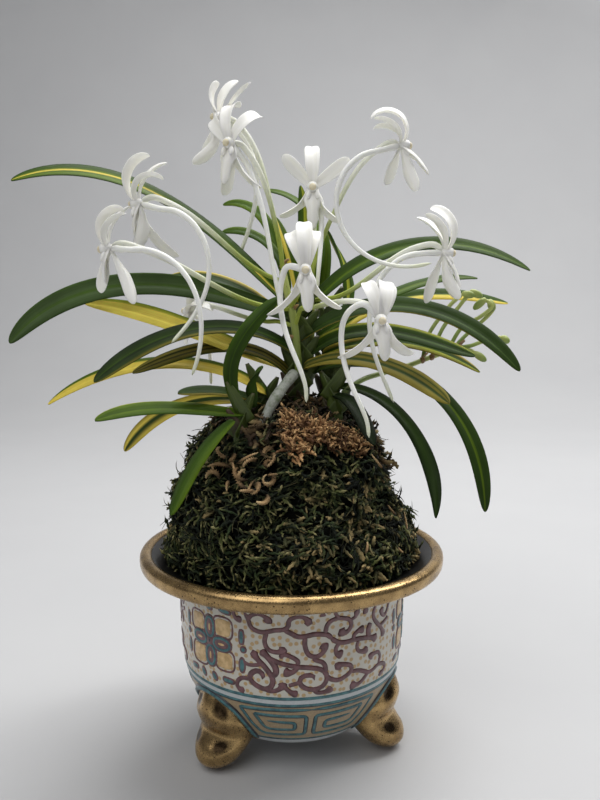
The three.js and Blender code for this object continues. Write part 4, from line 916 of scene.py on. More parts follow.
def folded(line, side, face, width, fold, thickness, columns):
    """A blade along a line: across it runs x = cos(turn), and a place lies side * x *
    width/2 * cos(fold) + face * (|x| * width/2 * sin(fold) + half thickness * sin(turn)).
    A fine groove follows the middle above, and a keel below. Width, fold in degrees and
    thickness are each one number, or one a row."""
    x, y = np.cos(ring(columns)), np.sin(ring(columns))
    bowl = np.sqrt(x ** 2 + 0.012) - 0.11
    crease = 0.22 * np.exp(-(x / 0.1) ** 2)
    half, fold, thick = (np.broadcast_to(each, len(line))[:, None]
                         for each in (width / 2, np.radians(fold), thickness / 2))
    depth = thick * (y * (1 - 0.25 * x ** 4)) - crease * np.minimum(1, half / 2)
    across = half * x * np.cos(fold)
    lift = half * bowl * np.sin(fold) + depth
    return line[:, None] + across[..., None] * side[:, None] + lift[..., None] * face[:, None]


def sheaths(at, low, high, facing, size):
    """The shoot's clasping leaf bases, from the bottom up, and the tone of each. A base
    starts on the far side of the stem and leans out past the near side, pointed."""
    count = max(2, round((high - low) / SHEATH_STEP))
    t = np.linspace(0, 1, SHEATH_ROWS)
    width = 2.7 * size * (1 - t ** 2.6) ** 0.8 * np.minimum(1, 17 * t)
    shells = []
    for number in range(count):
        turn = 1 if number % 2 else -1
        away = heading(facing, 0) * turn
        foot = np.array([*at, low + (number + 0.05) * (high - low) / count]) - 0.5 * size * away
        tip = foot + away * 2.0 * size + [0, 0, SHEATH_HEIGHT]
        line = smooth_line([foot, (foot + tip) / 2 + 0.25 * size * away, tip], SHEATH_ROWS)
        side = np.broadcast_to(heading(facing + 90, 0), line.shape)
        face = np.cross(side, unit(np.gradient(line, axis=0))) * (-turn)
        shells.append(folded(line, side, face, width, SHEATH_FOLD, SHEATH_THICKNESS,
                             SHEATH_COLUMNS))
    return np.stack(shells), np.linspace(0, 1, count)


def shoot_core(at, low, high, facing, size):
    """The flattened stem inside the leaf bases: an oval carried straight up, its girth
    drawn in to nothing at both ends."""
    line = np.linspace([*at, low], [*at, high], STEM_ROWS)
    t = np.linspace(0, 1, STEM_ROWS)[:, None]
    girth = size * 0.8 * np.minimum(1, np.minimum(t, 1 - t) * 15)
    side = np.broadcast_to(heading(facing, 0), line.shape)
    return sweep(line, side, np.cross([0, 0, 1], side), girth, 0.55 * girth, STEM_COLUMNS)


def streaks(made, along, across, detail=3.0, rough=0.55):
    """Noise drawn out on the piece's own grid, with so many clouds along it and across."""
    return noise(made, place(made, (along, across, 1), True), 1.0, detail, rough)


def leaf_base():
    """Leaf bases: green above, two browns where they have dried, and browned tips."""
    made = finish("leaf bases")
    stripe = streaks(made, 3, 30, 2.0)
    cloud = noise(made, place(made), 0.3)
    young = mix(made, stripe, (38, 54, 20), (88, 104, 36))
    old = mix(made, stripe, (38, 27, 18), (84, 62, 42))
    base = mix(made, between(made, plus(made, own_tone(made), cloud, 0.3), 0.3, 0.12), young, old)
    base = laid_over(made, base, between(made, own_share(made), 0.9, 1.0), 0.4, (84, 56, 40))
    return coat(made, base, spread(made, cloud, 0.4, 0.65), stripe, height=0.12)


base_finish = leaf_base()
for name, (at, low, high, facing, size) in SHOOTS.items():
    shells, tone = sheaths(at, low, high, facing, size)
    piece("shoot_" + name + "_fan", [{"points": shells, "tone": tone},
                                     {"points": shoot_core(at, low, high, facing, size)}],
          [base_finish], "leaf_sheath", "shoot_" + name)

# ---------- leaves ----------
# Thick, leathery, arching blades folded along the middle, from the shoots' sides and tops.
# Each is striped along in its own way, in yellows, olive and greens, as a prized sport is.
DARK, DEEP, GREEN = colour(46, 64, 26), colour(26, 38, 16), colour(60, 84, 24)
FRESH, OLIVE, LIME = colour(86, 108, 28), colour(120, 110, 44), colour(156, 162, 50)
YELLOW, LEMON = colour(220, 198, 84), colour(255, 232, 104)
# The pale grey-green here stands for painted sheen, and the near black green for painted shade.
SHEEN_GREEN, SHADE = colour(66, 84, 48), colour(15, 21, 9)
LEAF_THICKNESS = 1.25
LEAF_FOLD = 14               # degrees, with more near the base
LEAF_STEPS, LEAF_ROWS, LEAF_COLUMNS = 80, 48, 20
# Start, azimuth and rise at start, middle and end, length, width, roll (or three of them),
# slot, then stripes from the leaf's own right margin (0) to its left one (1), as (place,
# colour).
LEAVES = {
    "leaf_left_top": (
        (0.5, 2, 149), (-180, -162, -152), (45, 30, -25), 105, 8, 40, "leaf_striped",
        ((0, DARK), (0.3, GREEN), (0.4, FRESH), (0.47, YELLOW), (0.54, GREEN), (0.8, FRESH),
         (1, DARK))),
    # Its pale grey-green stripes down the middle are painted sheen.
    "leaf_left_broad": (
        (1.5, 0.5, 145.5), (-167, -167, -137), (22, 1, -50), 100, 9, 55, "leaf_dark",
        ((0, GREEN), (0.1, DARK), (0.4, SHEEN_GREEN), (0.52, GREEN), (0.6, SHEEN_GREEN), (1, DARK))),
    "leaf_left_middle": (
        (3, -4, 132.5), (-169, -157, -123), (48, -9, -30), 77, 7, 40, "leaf_dark",
        ((0, DEEP), (0.4, DARK), (0.46, GREEN), (0.52, DEEP), (0.82, DARK), (0.9, OLIVE),
         (1, DARK))),
    "leaf_left_low": (
        (1.5, -2.5, 123.5), (-180, -164, -151), (65, -1, -20), 61, 6, 40, "leaf_striped",
        ((0, DARK), (0.18, OLIVE), (0.34, DEEP), (0.46, OLIVE), (0.6, DEEP), (0.8, OLIVE),
         (1, DARK))),
    "leaf_left_crown": (
        (2.6, 0, 151.5), (120, 142, 159), (81, 70, 65), 31, 4.5, 20, "leaf_striped",
        ((0, FRESH), (0.6, GREEN), (0.75, YELLOW), (1, YELLOW))),
    "leaf_right_top": (
        (3.5, 3, 145), (4, 11, 8), (60, 11, -29), 94, 7, -45, "leaf_green",
        ((0, DARK), (0.3, GREEN), (0.46, FRESH), (0.54, GREEN), (1, DARK))),
    "leaf_right_broad": (
        (2.5, -2, 138), (-14, -7, -37), (46, -8, -50), 83, 7.5, -45, "leaf_dark",
        ((0, OLIVE), (0.05, DARK), (0.3, DARK), (0.36, GREEN), (0.42, DARK), (1, DARK))),
    "leaf_right_middle": (
        (4.5, -1.5, 132.5), (12, -2, -2), (51, -6, -17), 62, 7, -45, "leaf_striped",
        ((0, DARK), (0.25, DARK), (0.35, GREEN), (0.5, DARK), (0.8, GREEN), (0.9, LIME),
         (1, OLIVE))),
    "leaf_right_front": (
        (4, -5.5, 129.5), (-21, -25, -57), (30, -14, -27), 55, 7, -40, "leaf_striped",
        ((0, OLIVE), (0.3, OLIVE), (0.42, DARK), (0.5, DARK), (0.62, OLIVE), (0.76, DARK),
         (0.88, OLIVE), (1, OLIVE))),
    "leaf_right_hanging": (
        (6.5, -1.5, 127.5), (-8, -9, -64), (29, -40, -86), 90, 7, -40, "leaf_green",
        ((0, DARK), (0.38, DARK), (0.5, FRESH), (0.6, DARK), (1, DARK))),
    "leaf_rear_left": (
        (-5, 6, 146.5), (167, 168, 171), (45, 20, -8), 44, 7, 30, "leaf_dark",
        ((0, YELLOW), (0.2, OLIVE), (0.3, DARK), (1, DARK))),
    "leaf_rear_yellow": (
        (0, 7.5, 127.5), (-130, -172, -172), (20, 22, 4), 76, 7, (40, 56, 62), "leaf_yellow",
        ((0, FRESH), (0.14, LIME), (0.24, LEMON), (1, LEMON))),
    "leaf_rear_arched": (
        (-1.5, 8, 158), (125, 148, 172), (62, 58, -18), 43, 5, (20, 30, 55), "leaf_green",
        ((0, FRESH), (0.5, GREEN), (1, FRESH))),
    "leaf_rear_small": (
        (-1.5, 4.5, 155.5), (150, 172, 178), (87, 44, -16), 35, 4.5, (20, 35, 55), "leaf_green",
        ((0, FRESH), (0.5, GREEN), (1, GREEN))),
    "leaf_rear_bowed": (
        (5.5, 10.5, 152.5), (7, 117, 190), (67, 62, 0), 53, 5, (0, 0, 50), "leaf_green",
        ((0, GREEN), (0.5, FRESH), (1, GREEN))),
    "leaf_rear_upright": (
        (4, 10, 156), (84, 91, 128), (76, 78, 74), 38, 4.5, 0, "leaf_green",
        ((0, FRESH), (0.45, LIME), (0.55, GREEN), (1, GREEN))),
    "leaf_back_narrow": (
        (9, 4.5, 139.5), (12, 20, 18), (33, 21, -5), 67, 5, -30, "leaf_green",
        ((0, GREEN), (0.5, FRESH), (0.6, GREEN), (1, GREEN))),
    "leaf_back_yellow": (
        (12, 8, 136.5), (30, 20, 20), (50, 7, -10), 81, 6, -45, "leaf_yellow",
        ((0, YELLOW), (0.32, YELLOW), (0.42, LIME), (0.5, GREEN), (1, GREEN))),
    "leaf_back_low": (
        (10.5, 4, 133.5), (8, 8, 8), (26, -8, -32), 60, 6, -40, "leaf_yellow",
        ((0, OLIVE), (0.3, LIME), (0.4, GREEN), (0.62, GREEN), (0.72, OLIVE), (1, YELLOW))),
    "leaf_back_upright": (
        (10.5, 12, 152.5), (55, 82, 107), (71, 71, 74), 26, 4, 0, "leaf_green",
        ((0, GREEN), (0.5, FRESH), (1, GREEN))),
    "leaf_back_bowed": (
        (18.5, 14, 145.5), (42, 124, 206), (61, 66, 59), 37, 4.5, 0, "leaf_striped",
        ((0, GREEN), (0.35, GREEN), (0.48, LIME), (0.6, LIME), (0.7, GREEN), (1, GREEN))),
    "leaf_low_yellow": (
        (-8, -14, 122), (142, 190, 169), (33, -3, -36), 78, 6, 40, "leaf_yellow",
        ((0, GREEN), (0.22, FRESH), (0.32, YELLOW), (1, YELLOW))),
    "leaf_low_dark": (
        (-9.5, -12.5, 118.5), (-167, -143, -130), (30, 9, -2), 32, 5, 35, "leaf_dark",
        ((0, DARK), (0.8, DARK), (0.9, OLIVE), (1, OLIVE))),
    "leaf_low_drooping": (
        (-11, -8.5, 118), (-171, -158, -129), (18, -15, -49), 50, 6, 40, "leaf_striped",
        ((0, OLIVE), (0.3, YELLOW), (0.42, DARK), (0.6, DARK), (0.7, OLIVE), (1, YELLOW))),
    "leaf_low_short": (
        (-12, -16, 118), (-162, -50, 55), (73, 75, 36), 15, 4, 0, "leaf_dark",
        ((0, DARK), (0.5, GREEN), (1, DARK))),
    "leaf_front_low": (
        (-14.5, -20, 116), (-160, -151, -137), (9, 5, -15), 49, 6, 35, "leaf_green",
        ((0, LIME), (0.08, FRESH), (0.5, GREEN), (0.56, FRESH), (1, GREEN))),
    "leaf_front_upright": (
        (-16.5, -21.5, 117), (-205, -27, 28), (74, 62, 29), 44, 5, (-114, 66, 105), "leaf_dark",
        ((0, GREEN), (0.44, DARK), (0.5, GREEN), (0.56, DARK), (1, GREEN))),
    "leaf_front_hanging": (
        (-17.5, -24, 115), (-145, -130, -116), (-28, -45, -49), 37, 4.5, 34, "leaf_green",
        ((0, DARK), (0.5, GREEN), (1, FRESH))),
    "leaf_side_hanging": (
        (15.5, -8, 123.5), (-40, -30, -115), (11, -51, -58), 60, 5, -35, "leaf_dark",
        ((0, DEEP), (0.5, DARK), (1, DEEP))),
    # This leaf is coloured near black green as painted shade.
    "leaf_side_short": (
        (14, -12, 121), (-54, -66, -61), (12, -29, -47), 29, 5, -20, "leaf_dark",
        ((0, SHADE), (0.5, DEEP), (1, SHADE))),
}


def through(values, t):
    """The parabola that has the three values at t = 0, a half and 1."""
    start, middle, end = (np.asarray(value, float)[..., None] for value in values)
    return start * (1 - t) * (1 - 2 * t) + 4 * middle * t * (1 - t) + end * t * (2 * t - 1)


def growth_line(start, azimuth, rise, length, steps=40):
    """A line that grows from start, its azimuth and rise turning as parabolas of t."""
    t = (np.arange(steps) + 0.5) / steps
    return along_headings(start, heading(through(azimuth, t), through(rise, t)), length)


def leaf_blade(start, azimuth, rise, length, width, roll):
    """A leaf along its growth line: full by a third, rounded in to a blunt tip, and rolled
    about its line from the level, evenly or as a parabola through three rolls. Its uv is
    mm along and the share across."""
    line = growth_line(start, azimuth, rise, length, LEAF_STEPS)
    t = np.sin(np.linspace(0, np.pi / 2, LEAF_ROWS)) ** 1.15
    line = read_off(line, np.linspace(0, 1, LEAF_STEPS + 1), t)
    a, r = np.radians(through(azimuth, t)), np.radians(through(rise, t))
    level = np.stack([-np.sin(a), np.cos(a), 0 * a], -1)
    up = np.stack([-np.sin(r) * np.cos(a), -np.sin(r) * np.sin(a), np.cos(r)], -1)
    turn = np.radians(through(np.broadcast_to(roll, 3), t))[:, None]
    side, face = level * np.cos(turn) - up * np.sin(turn), up * np.cos(turn) + level * np.sin(turn)
    closing = np.clip((t - 0.6) / 0.4, 0, 1) ** 2.4
    broad = width * np.minimum(1, 0.7 + t) * np.sqrt(1 - closing) * np.minimum(1, 40 * t)
    fold = LEAF_FOLD + 34 * np.exp(-9 * t) - 4 * t
    thick = LEAF_THICKNESS * np.sqrt(1 - 0.8 * closing) * np.minimum(1, 40 * t)
    thick[-1] = 0
    across = (1 + np.cos(np.arange(LEAF_COLUMNS + 1) * 2 * np.pi / LEAF_COLUMNS)) / 2
    return {"points": folded(line, side, face, broad, fold, thick, LEAF_COLUMNS),
            "uv": np.stack(np.broadcast_arrays((t * length)[:, None], across), -1)}


def lit_through(weight, radius, reach):
    """Fixed inputs for light that soaks in: how much of it, how far its red, green and blue
    go, and the length in metres that this is a share of."""
    return {"Subsurface_Weight": weight, "Subsurface_Radius": radius, "Subsurface_Scale": reach}


def striped_leaf(name, stripes):
    """A leaf's finish: its own stripes across, uneven along, shaded by clouds and veins."""
    made = finish(name + " stripes")
    veins = streaks(made, 0.03, 13, 4.0, 0.7)
    cloud = noise(made, place(made), 0.09, 4.0)
    across = plus(made, own_share(made, 1), streaks(made, 0.02, 7), 0.22)
    ramp = made.node_tree.nodes.new("ShaderNodeValToRGB")
    bands = ramp.color_ramp
    for position, tint in stripes[1:-1]:
        bands.elements.new(position).color = tint
    bands.elements[0].color, bands.elements[-1].color = stripes[0][1], stripes[-1][1]
    made.node_tree.links.new(maths(made, "SUBTRACT", across, 0.11), ramp.inputs[0])
    mottle = maths(made, "ADD", cloud, veins)
    shade = spread(made, mottle, 0.72, 1.28, 0.65, 1.35)
    base = node(made, "VectorMath", {0: ramp.outputs[0], 3: shade}, operation="SCALE")
    return coat(made, base, spread(made, mottle, 0.34, 0.52, 0.5, 1.5),
                plus(made, veins, cloud, 0.6), height=0.07, Specular_IOR_Level=0.07,
                **lit_through(0.05, (0.4, 0.8, 0.2), MM))


for name, (start, azimuth, rise, length, width, roll, slot, stripes) in LEAVES.items():
    piece(name + "_blade", [leaf_blade(start, azimuth, rise, length, width, roll)],
          [striped_leaf(name, stripes)], slot, name)

# ---------- aerial root ----------
# A stout root leaves the main shoot and goes down into the moss, its spongy skin silver
# grey, mottled with green.
ROOT_ROUTE = [(1.2, -5.4, 128.5), (-0.8, -9.8, 126.5), (-3.3, -13, 123.5), (-5.4, -15.6, 120.6),
              (-7.4, -17.4, 116.8), (-9, -18.4, 112)]
ROOT_RADIUS = 1.8


def stem(route, radius, count=48, columns=14, ribs=0.0):
    """A round stem through the route; radius is one number, or one a row, and ribs is the
    share by which six ridges along it stand out."""
    line = smooth_line(route, count)
    side, face = square_to(line)
    girth = (radius * blunt_ends(count, pace=30))[:, None]
    girth = girth * (1 + ribs * np.cos(6 * ring(columns)))
    return {"points": sweep(line, side, face, girth, girth, columns)}


def root_skin():
    """Silvery spongy skin with green mottling and a fine crumb."""
    made = finish("root skin")
    flow = place(made)
    cloud = noise(made, flow, 0.5, 4.0)
    base = mix(made, between(made, cloud, 0.4, 0.75), (164, 167, 158), (112, 122, 96))
    return coat(made, base, spread(made, cloud, 0.6, 0.85), noise(made, flow, 1.8), height=0.25)


# Its girth swells and shrinks a little, as a sine wave along it.
root_girth = ROOT_RADIUS * (1 + 0.06 * np.sin(np.linspace(0, 14, 48)))
piece("aerial_root_skin", [stem(ROOT_ROUTE, root_girth)], [root_skin()], "root_skin", "aerial_root")

# ---------- flower stalks ----------
# Two short pale stalks come out of the leaf axils, with a dry bract under each pedicel.
STALKS = {
    "flower_stalk_left": [(2.5, -6.2, 128), (1.8, -6.6, 138), (0.5, -6.8, 148), (-1.5, -6.8, 156),
                          (-3, -6, 163)],
    "flower_stalk_right": [(6.4, 3.2, 128), (6.6, 3.2, 138), (6.8, 3, 148), (6.6, 2.4, 157)],
}
STALK_RADIUS = 1.25
BRACT_AZIMUTHS, BRACT_LENGTH = (200, -40, 160, 20), 4.2


def pale_stem(name, low, high):
    """A waxy stem, from one colour at its foot to another, faintly streaked."""
    made = finish(name)
    streak = streaks(made, 2, 16)
    base = mix(made, between(made, plus(made, own_share(made), streak, 0.2), 0.1, 1.1), low, high)
    return coat(made, base, spread(made, streak, 0.35, 0.55), noise(made, place(made), 1.2),
                height=0.06, **lit_through(0.2, (1.0, 1.0, 0.5), MM))


def bract(at, azimuth, length):
    """A small pointed scale that clasps the stalk."""
    line = growth_line(at, (azimuth,) * 3, (75, 50, 30), length, 14)
    t = np.linspace(0, 1, 15)
    width = 0.75 * length * np.sqrt(np.clip(1 - t ** 1.6, 0, 1)) * np.minimum(1, 12 * t)
    side = np.broadcast_to(heading(azimuth + 90, 0), line.shape)
    face = np.cross(side, unit(np.gradient(line, axis=0)))
    return {"points": folded(line, side, -face, width, 38, np.minimum(0.5, width), 12),
            "finish": 1}


stalk_finish = pale_stem("flower stalk", (112, 130, 52), (176, 184, 104))
straw = pale_stem("dry bracts", (126, 94, 62), (168, 134, 92))
for name, route in STALKS.items():
    scales = [bract(at, azimuth, BRACT_LENGTH) for at, azimuth in zip(route[1:], BRACT_AZIMUTHS)]
    piece(name + "_skin", [stem(route, STALK_RADIUS), *scales], [stalk_finish, straw],
          "flower_stalk", name)

# ---------- blooms ----------
# Waxy white flowers: three sepals and two petals that roll back, a small three-lobed lip,
# a stub of a column with its cap, a long thin curved spur, and a ribbed stalk of its own.
TEPAL_WIDTHS = (5, 4.4, 4.4, 4.2, 4.2)
TEPAL_STEPS, TEPAL_ROWS, TEPAL_COLUMNS = 60, 28, 14
LIP_WIDTH = 6
PLAIN_LIP = (180, 55, 100, 10)
# How far out of and up from the flower's centre each is, then its radius and reach.
COLUMN, CAP = (1.1, 0, 1.8, 2.3), (2.8, -0.1, 1.15, 0.9)
SIDE_LOBE = (1.9, -2.4, 0.85, 1.7)
SIDE_LOBE_ACROSS = 1.3
# Shares of the length, and the radius at each.
SPUR_GIRTH = (0, 0.1, 0.8, 1), (1.15, 0.95, 0.7, 0.55)
PEDICEL_GIRTH = (0, 0.15, 0.6, 1), (0.95, 0.9, 0.75, 0.7)
# Centre and facing (azimuth, rise); five tepals, the dorsal sepal, two petals and two
# sepals, and the lip (clock, opening, curl, length, twist, sway); spur and pedicel (start,
# azimuths, rises, length); and the pedicel's joint on its stalk.
BLOOMS = {
    "bloom_left_upper": (
        (-47, -18, 182.5), (182, -5),
        ((7, 40, 179, 18, 28), (-14, 86, 169, 16, -32), (25, 56, 226, 15, 30),
         (-161, 93, 145, 20, 60), (167, 112, 50, 14, -60)),
        PLAIN_LIP, ((-44.5, -19.5, 180), (-12, -6, 39), (19, -85, -139), 58),
        ((-47, -16.5, 185), (-11, 19, 16), (-3, -40, -17), 52), (-2.2, -6.6, 158.5)),
    "bloom_left_lower": (
        (-54, -30, 168), (185, -5),
        ((6, 46, 188, 15, 28), (-22, 84, 152, 15, -32), (34, 67, 177, 14, 30),
         (-166, 74, 67, 13, 60), (163, 122, 94, 18, -60)),
        PLAIN_LIP, ((-51.5, -32.5, 166.5), (4, -20, -29), (21, -62, -117), 55),
        ((-54.5, -30.5, 170), (12, 25, 29), (-4, -28, 1), 61), (0.2, -6.8, 149.5)),
    "bloom_top_rear": (
        (-23, -1, 212), (200, 5),
        ((-11, 39, 133, 12, 28), (-6, 78, 146, 14, -34), (34, 110, 128, 14, 30),
         (-150, 90, 60, 13, 60), (172, 99, 23, 19, -60)),
        PLAIN_LIP, ((-20.5, 2, 211), (6, -17, -46), (-37, -93, -121), 48),
        ((-22.5, 0, 213.5), (-7, 1, -104), (-25, -77, -49), 56), (-3, -6, 162.8)),
    "bloom_top_front": (
        (-19, -13, 201.5), (-115, 0),
        ((-11, 69, 188, 20), (-44, 76, 147, 14), (33, 74, 185, 16), (-175, 95, 120, 16, 55, 30),
         (165, 84, 150, 17, -55, -30)),
        (185, 66, 93, 12), ((-16, -11.5, 199.5), (14, -40, -8), (-62, -76, -76), 55),
        ((-18, -11.5, 203.5), (-14, 31, -47), (-39, -71, -80), 43), (-2.6, -6.8, 161.5)),
    "bloom_centre_upper": (
        (7, -6, 189), (-90, 0),
        ((-1, 67, 160, 16), (-44, 91, 79, 13), (53, 90, 87, 14), (-152, 92, 66, 14, 72, 44),
         (162, 93, 66, 14, -72, -44)),
        (180, 58, 102, 13), ((9.5, -3.5, 187.5), (-70, -98, -106), (-83, -65, -82), 33),
        ((7, -5, 188.5), (91, 115, 294), (-18, -80, -71), 37), (6.6, 2.6, 154)),
    "bloom_centre_front": (
        (4.5, -34, 161.5), (-90, 0),
        ((-2, 64, 165, 17), (-22, 66, 172, 15), (13, 67, 172, 15), (-161, 84, 98, 17, 70, 44),
         (158, 89, 78, 15, -70, -44)),
        (176, 57, 101, 12), ((1.5, -35, 164), (145, 122, 183), (-17, -119, -83), 47),
        ((4.5, -33, 162), (95, 99, 115), (-27, -22, -32), 28), (-0.2, -6.8, 150.5)),
    "bloom_right_lower": (
        (26.5, -36, 147), (-82, -5),
        ((13, 66, 178, 14), (-17, 68, 178, 14), (22, 82, 165, 13), (-158, 94, 120, 17, 50, 44),
         (160, 72, 96, 14, -50, -50)),
        (173, 51, 111, 12), ((25, -37.5, 150.5), (174, 118, 187), (30, -114, -88), 50),
        ((26.5, -36, 149), (131, 137, 111), (35, -8, 4), 38), (1.2, -6.8, 144)),
    "bloom_right_top": (
        (35, -10, 201.5), (-5, 0),
        ((-1, 48, 229, 19, 22), (-36, 86, 182, 13, -35), (30, 76, 206, 13, 25),
         (-166, 79, 63, 15, 60), (147, 116, 99, 13, -60)),
        (178, 32, 59, 12), ((31.5, -13, 198.5), (214, 176, 165), (15, -110, -195), 69),
        ((35, -9, 204), (205, 141, 271), (-19, -58, -71), 58), (6.6, 2.4, 157)),
    "bloom_right_middle": (
        (48.5, -16, 167.5), (-8, 0),
        ((-3, 44, 174, 17, 38), (-22, 79, 155, 14, -40), (20, 92, 161, 15, 35),
         (-170, 97, 45, 15, 60), (158, 119, 95, 17, -60)),
        (180, 51, 82, 12), ((46, -17, 166.5), (180, 190, 150), (20, -83, -115), 62),
        ((48.5, -17, 169.5), (162, 157, 141), (16, -37, 14), 49), (6.7, 2.8, 152.5)),
    "bloom_rear_low": (
        (-37, 21, 148), (170, 20),
        ((5, 60, 170, 14, 55), (-50, 85, 150, 13, -40), (60, 70, 205, 16, 40),
         (-150, 90, 90, 14, 50), (165, 95, 60, 11, -60)),
        PLAIN_LIP, ((-34.5, 20, 147), (-20, -40, -60), (-50, -80, -90), 26),
        ((-37, 19.3, 151.5), (-34, -35, -25), (4, -15, 11), 43), (1.2, -6.4, 144)),
}


def bloom_frame(azimuth, rise):
    """The flower's own directions: out of its face, across it, and up it."""
    out = heading(azimuth, rise)
    across = unit(np.cross([0, 0, 1], out))
    return out, across, np.cross(out, across)


def tepal(centre, frame_of, width_at, clock, opening, curl, length, twist=0.0, sway=0.0,
          thickness=0.8, cup=0.34):
    """A petal or sepal: it leaves the centre at its clock angle, which sways as it goes, and
    turns from opening to curl, both measured from the flower's axis. Its blade twists
    about its line over the first half, and its edges lift by cup * x squared."""
    out, across, up = frame_of

    def ahead(share):
        at = np.radians(clock + sway * share)[:, None]
        radial = up * np.cos(at) + across * np.sin(at)
        angle = np.radians(opening + (curl - opening) * share)[:, None]
        return out * np.cos(angle) + radial * np.sin(angle), np.cross(out, radial)

    t = np.sin(np.linspace(0, np.pi / 2, TEPAL_ROWS)) ** 1.2
    line = along_headings(centre, ahead((np.arange(TEPAL_STEPS) + 0.5) / TEPAL_STEPS)[0],
                          length + 1)
    line = read_off(line, np.linspace(0, 1, TEPAL_STEPS + 1), t)
    along, side = ahead(t)
    face = np.cross(side, along)
    turn = np.radians(twist * np.minimum(1, 2 * t))[:, None]
    side, face = (side * np.cos(turn) + face * np.sin(turn),
                  face * np.cos(turn) - side * np.sin(turn))
    half = width_at(t)[:, None] / 2
    x, y = np.cos(ring(TEPAL_COLUMNS)), np.sin(ring(TEPAL_COLUMNS))
    swell = thickness / 2 * np.sqrt(np.clip(1 - t ** 6, 0, 1))[:, None] * np.minimum(1, half)
    lift = y * swell * (1 - 0.3 * x ** 2) - cup * half * x ** 2
    return {"points": line[:, None] + (half * x)[..., None] * side[:, None]
            + lift[..., None] * face[:, None]}


def round_tip(t, begins, reach):
    """1 up to where the tip begins, then less over its reach, to nothing."""
    return np.sqrt(np.clip(1 - np.clip((t - begins) / reach, 0, 1) ** 2.2, 0, 1))


def tepal_width(width):
    """Strap shape: a narrow claw, widest past the middle, and a round tip."""
    def strap(t):
        grown = width * (0.46 + 0.54 * np.sin(np.minimum(1, t / 0.66) * np.pi / 2))
        return grown * round_tip(t, 0.7, 0.3)
    return strap


def lip_width(t):
    """The lip: two rounded side lobes near its base, then a narrower tongue."""
    lobes = 0.81 + 0.19 * np.cos(np.minimum(1, np.abs(t - 0.3) / 0.3) * np.pi)
    return LIP_WIDTH * lobes * round_tip(t, 0.66, 0.34)


def bead(at, direction, radius, reach, rows=14, columns=16):
    """An egg about a direction: radius * sin and reach * cos of the turn from its tip."""
    out = np.asarray(direction, float)
    side = unit(np.cross(out, [0.3, 0.2, 0.93]))
    tip = np.linspace(0, np.pi, rows)
    line = np.asarray(at, float) + np.cos(tip)[:, None] * reach * out
    ball = (radius * np.sin(tip))[:, None]
    return {"points": sweep(line, np.broadcast_to(side, line.shape),
                            np.broadcast_to(np.cross(out, side), line.shape), ball, ball, columns)}


def thinned(line, count=12):
    """The line's places at even shares of its rows."""
    rows = np.arange(len(line))
    return read_off(line, rows, np.linspace(0, rows[-1], count))


def waxy_white():
    """White waxy petals: a little light goes through, with the faintest veins."""
    made = finish("waxy white petals")
    veins = streaks(made, 1, 12, 2.0)
    base = mix(made, maths(made, "MULTIPLY", between(made, veins, 0.45, 0.75), 0.5),
               (248, 246, 239), (232, 230, 218))
    return coat(made, base, spread(made, noise(made, place(made), 0.25), 0.38, 0.55), veins,
                height=0.05, **lit_through(0.3, (1.0, 1.0, 0.8), 1.5 * MM))


def fading(name, near, far, begins, ends):
    """One colour that passes to another along the spur, stalk or cap."""
    made = finish(name)
    flow = place(made)
    cloud = noise(made, flow, 0.4)
    base = mix(made, between(made, plus(made, own_share(made), cloud, 0.15), begins, ends),
               near, far)
    return coat(made, base, spread(made, cloud, 0.38, 0.55), noise(made, flow, 1.4),
                height=0.05, **lit_through(0.25, (1.0, 1.0, 0.8), 1.5 * MM))


flower_finishes = [
    waxy_white(), fading("spur white", (245, 245, 239), (226, 230, 196), 0.8, 1.15),
    fading("pedicel white", (240, 241, 228), (156, 170, 68), 0.3, 0.85),
    fading("anther cap", (240, 228, 194), (222, 200, 146), 0.2, 1.0)]
for name, (centre, facing, tepals, lip, spur, pedicel, joint) in BLOOMS.items():
    frame_of = bloom_frame(*facing)
    out, across, up = frame_of
    heart = np.array(centre, float)
    parts = [tepal(centre, frame_of, tepal_width(width), *shape)
             for width, shape in zip(TEPAL_WIDTHS, tepals)]
    parts.append(tepal(centre, frame_of, lip_width, *lip, thickness=1.4, cup=-0.22))
    for ahead, higher, radius, reach in (COLUMN, CAP):
        parts.append(bead(heart + ahead * out + higher * up, out, radius, reach))
    parts[-1]["finish"] = 3
    ahead, higher, radius, reach = SIDE_LOBE
    for hand in (-1, 1):
        root = heart + ahead * out + higher * up + hand * SIDE_LOBE_ACROSS * across
        parts.append(bead(root, unit(out * 0.4 - up + hand * 0.2 * across), radius, reach, 10, 12))
    for number, (line, girth, columns, ribs) in enumerate((
            ([heart[None], growth_line(*spur)], SPUR_GIRTH, 10, 0),
            ([heart[None], growth_line(*pedicel), [joint]], PEDICEL_GIRTH, 18, 0.1)), 1):
        girth = np.interp(np.linspace(0, 1, 54), *girth)
        parts.append({**stem(thinned(np.concatenate(line)), girth, 54, columns, ribs),
                      "finish": number})
    piece(name + "_flower", parts, flower_finishes, "petal", name)

# ---------- bud spray ----------
# A young spray lies behind the right-hand leaves: green buds with brown bracts, each on
# its own thin stalk.
SPRAY_ROUTE = [(16.5, -7, 121.5), (24.1, 0, 125.5), (30.7, 5, 127.2), (41, 10, 129.6),
               (48.9, 13, 132.2), (55.4, 15.5, 134.1), (61, 17, 136)]
SPRAY_RADIUS, BUD_STALK_RADIUS, BUD_RADIUS = 0.9, 0.72, 1.4
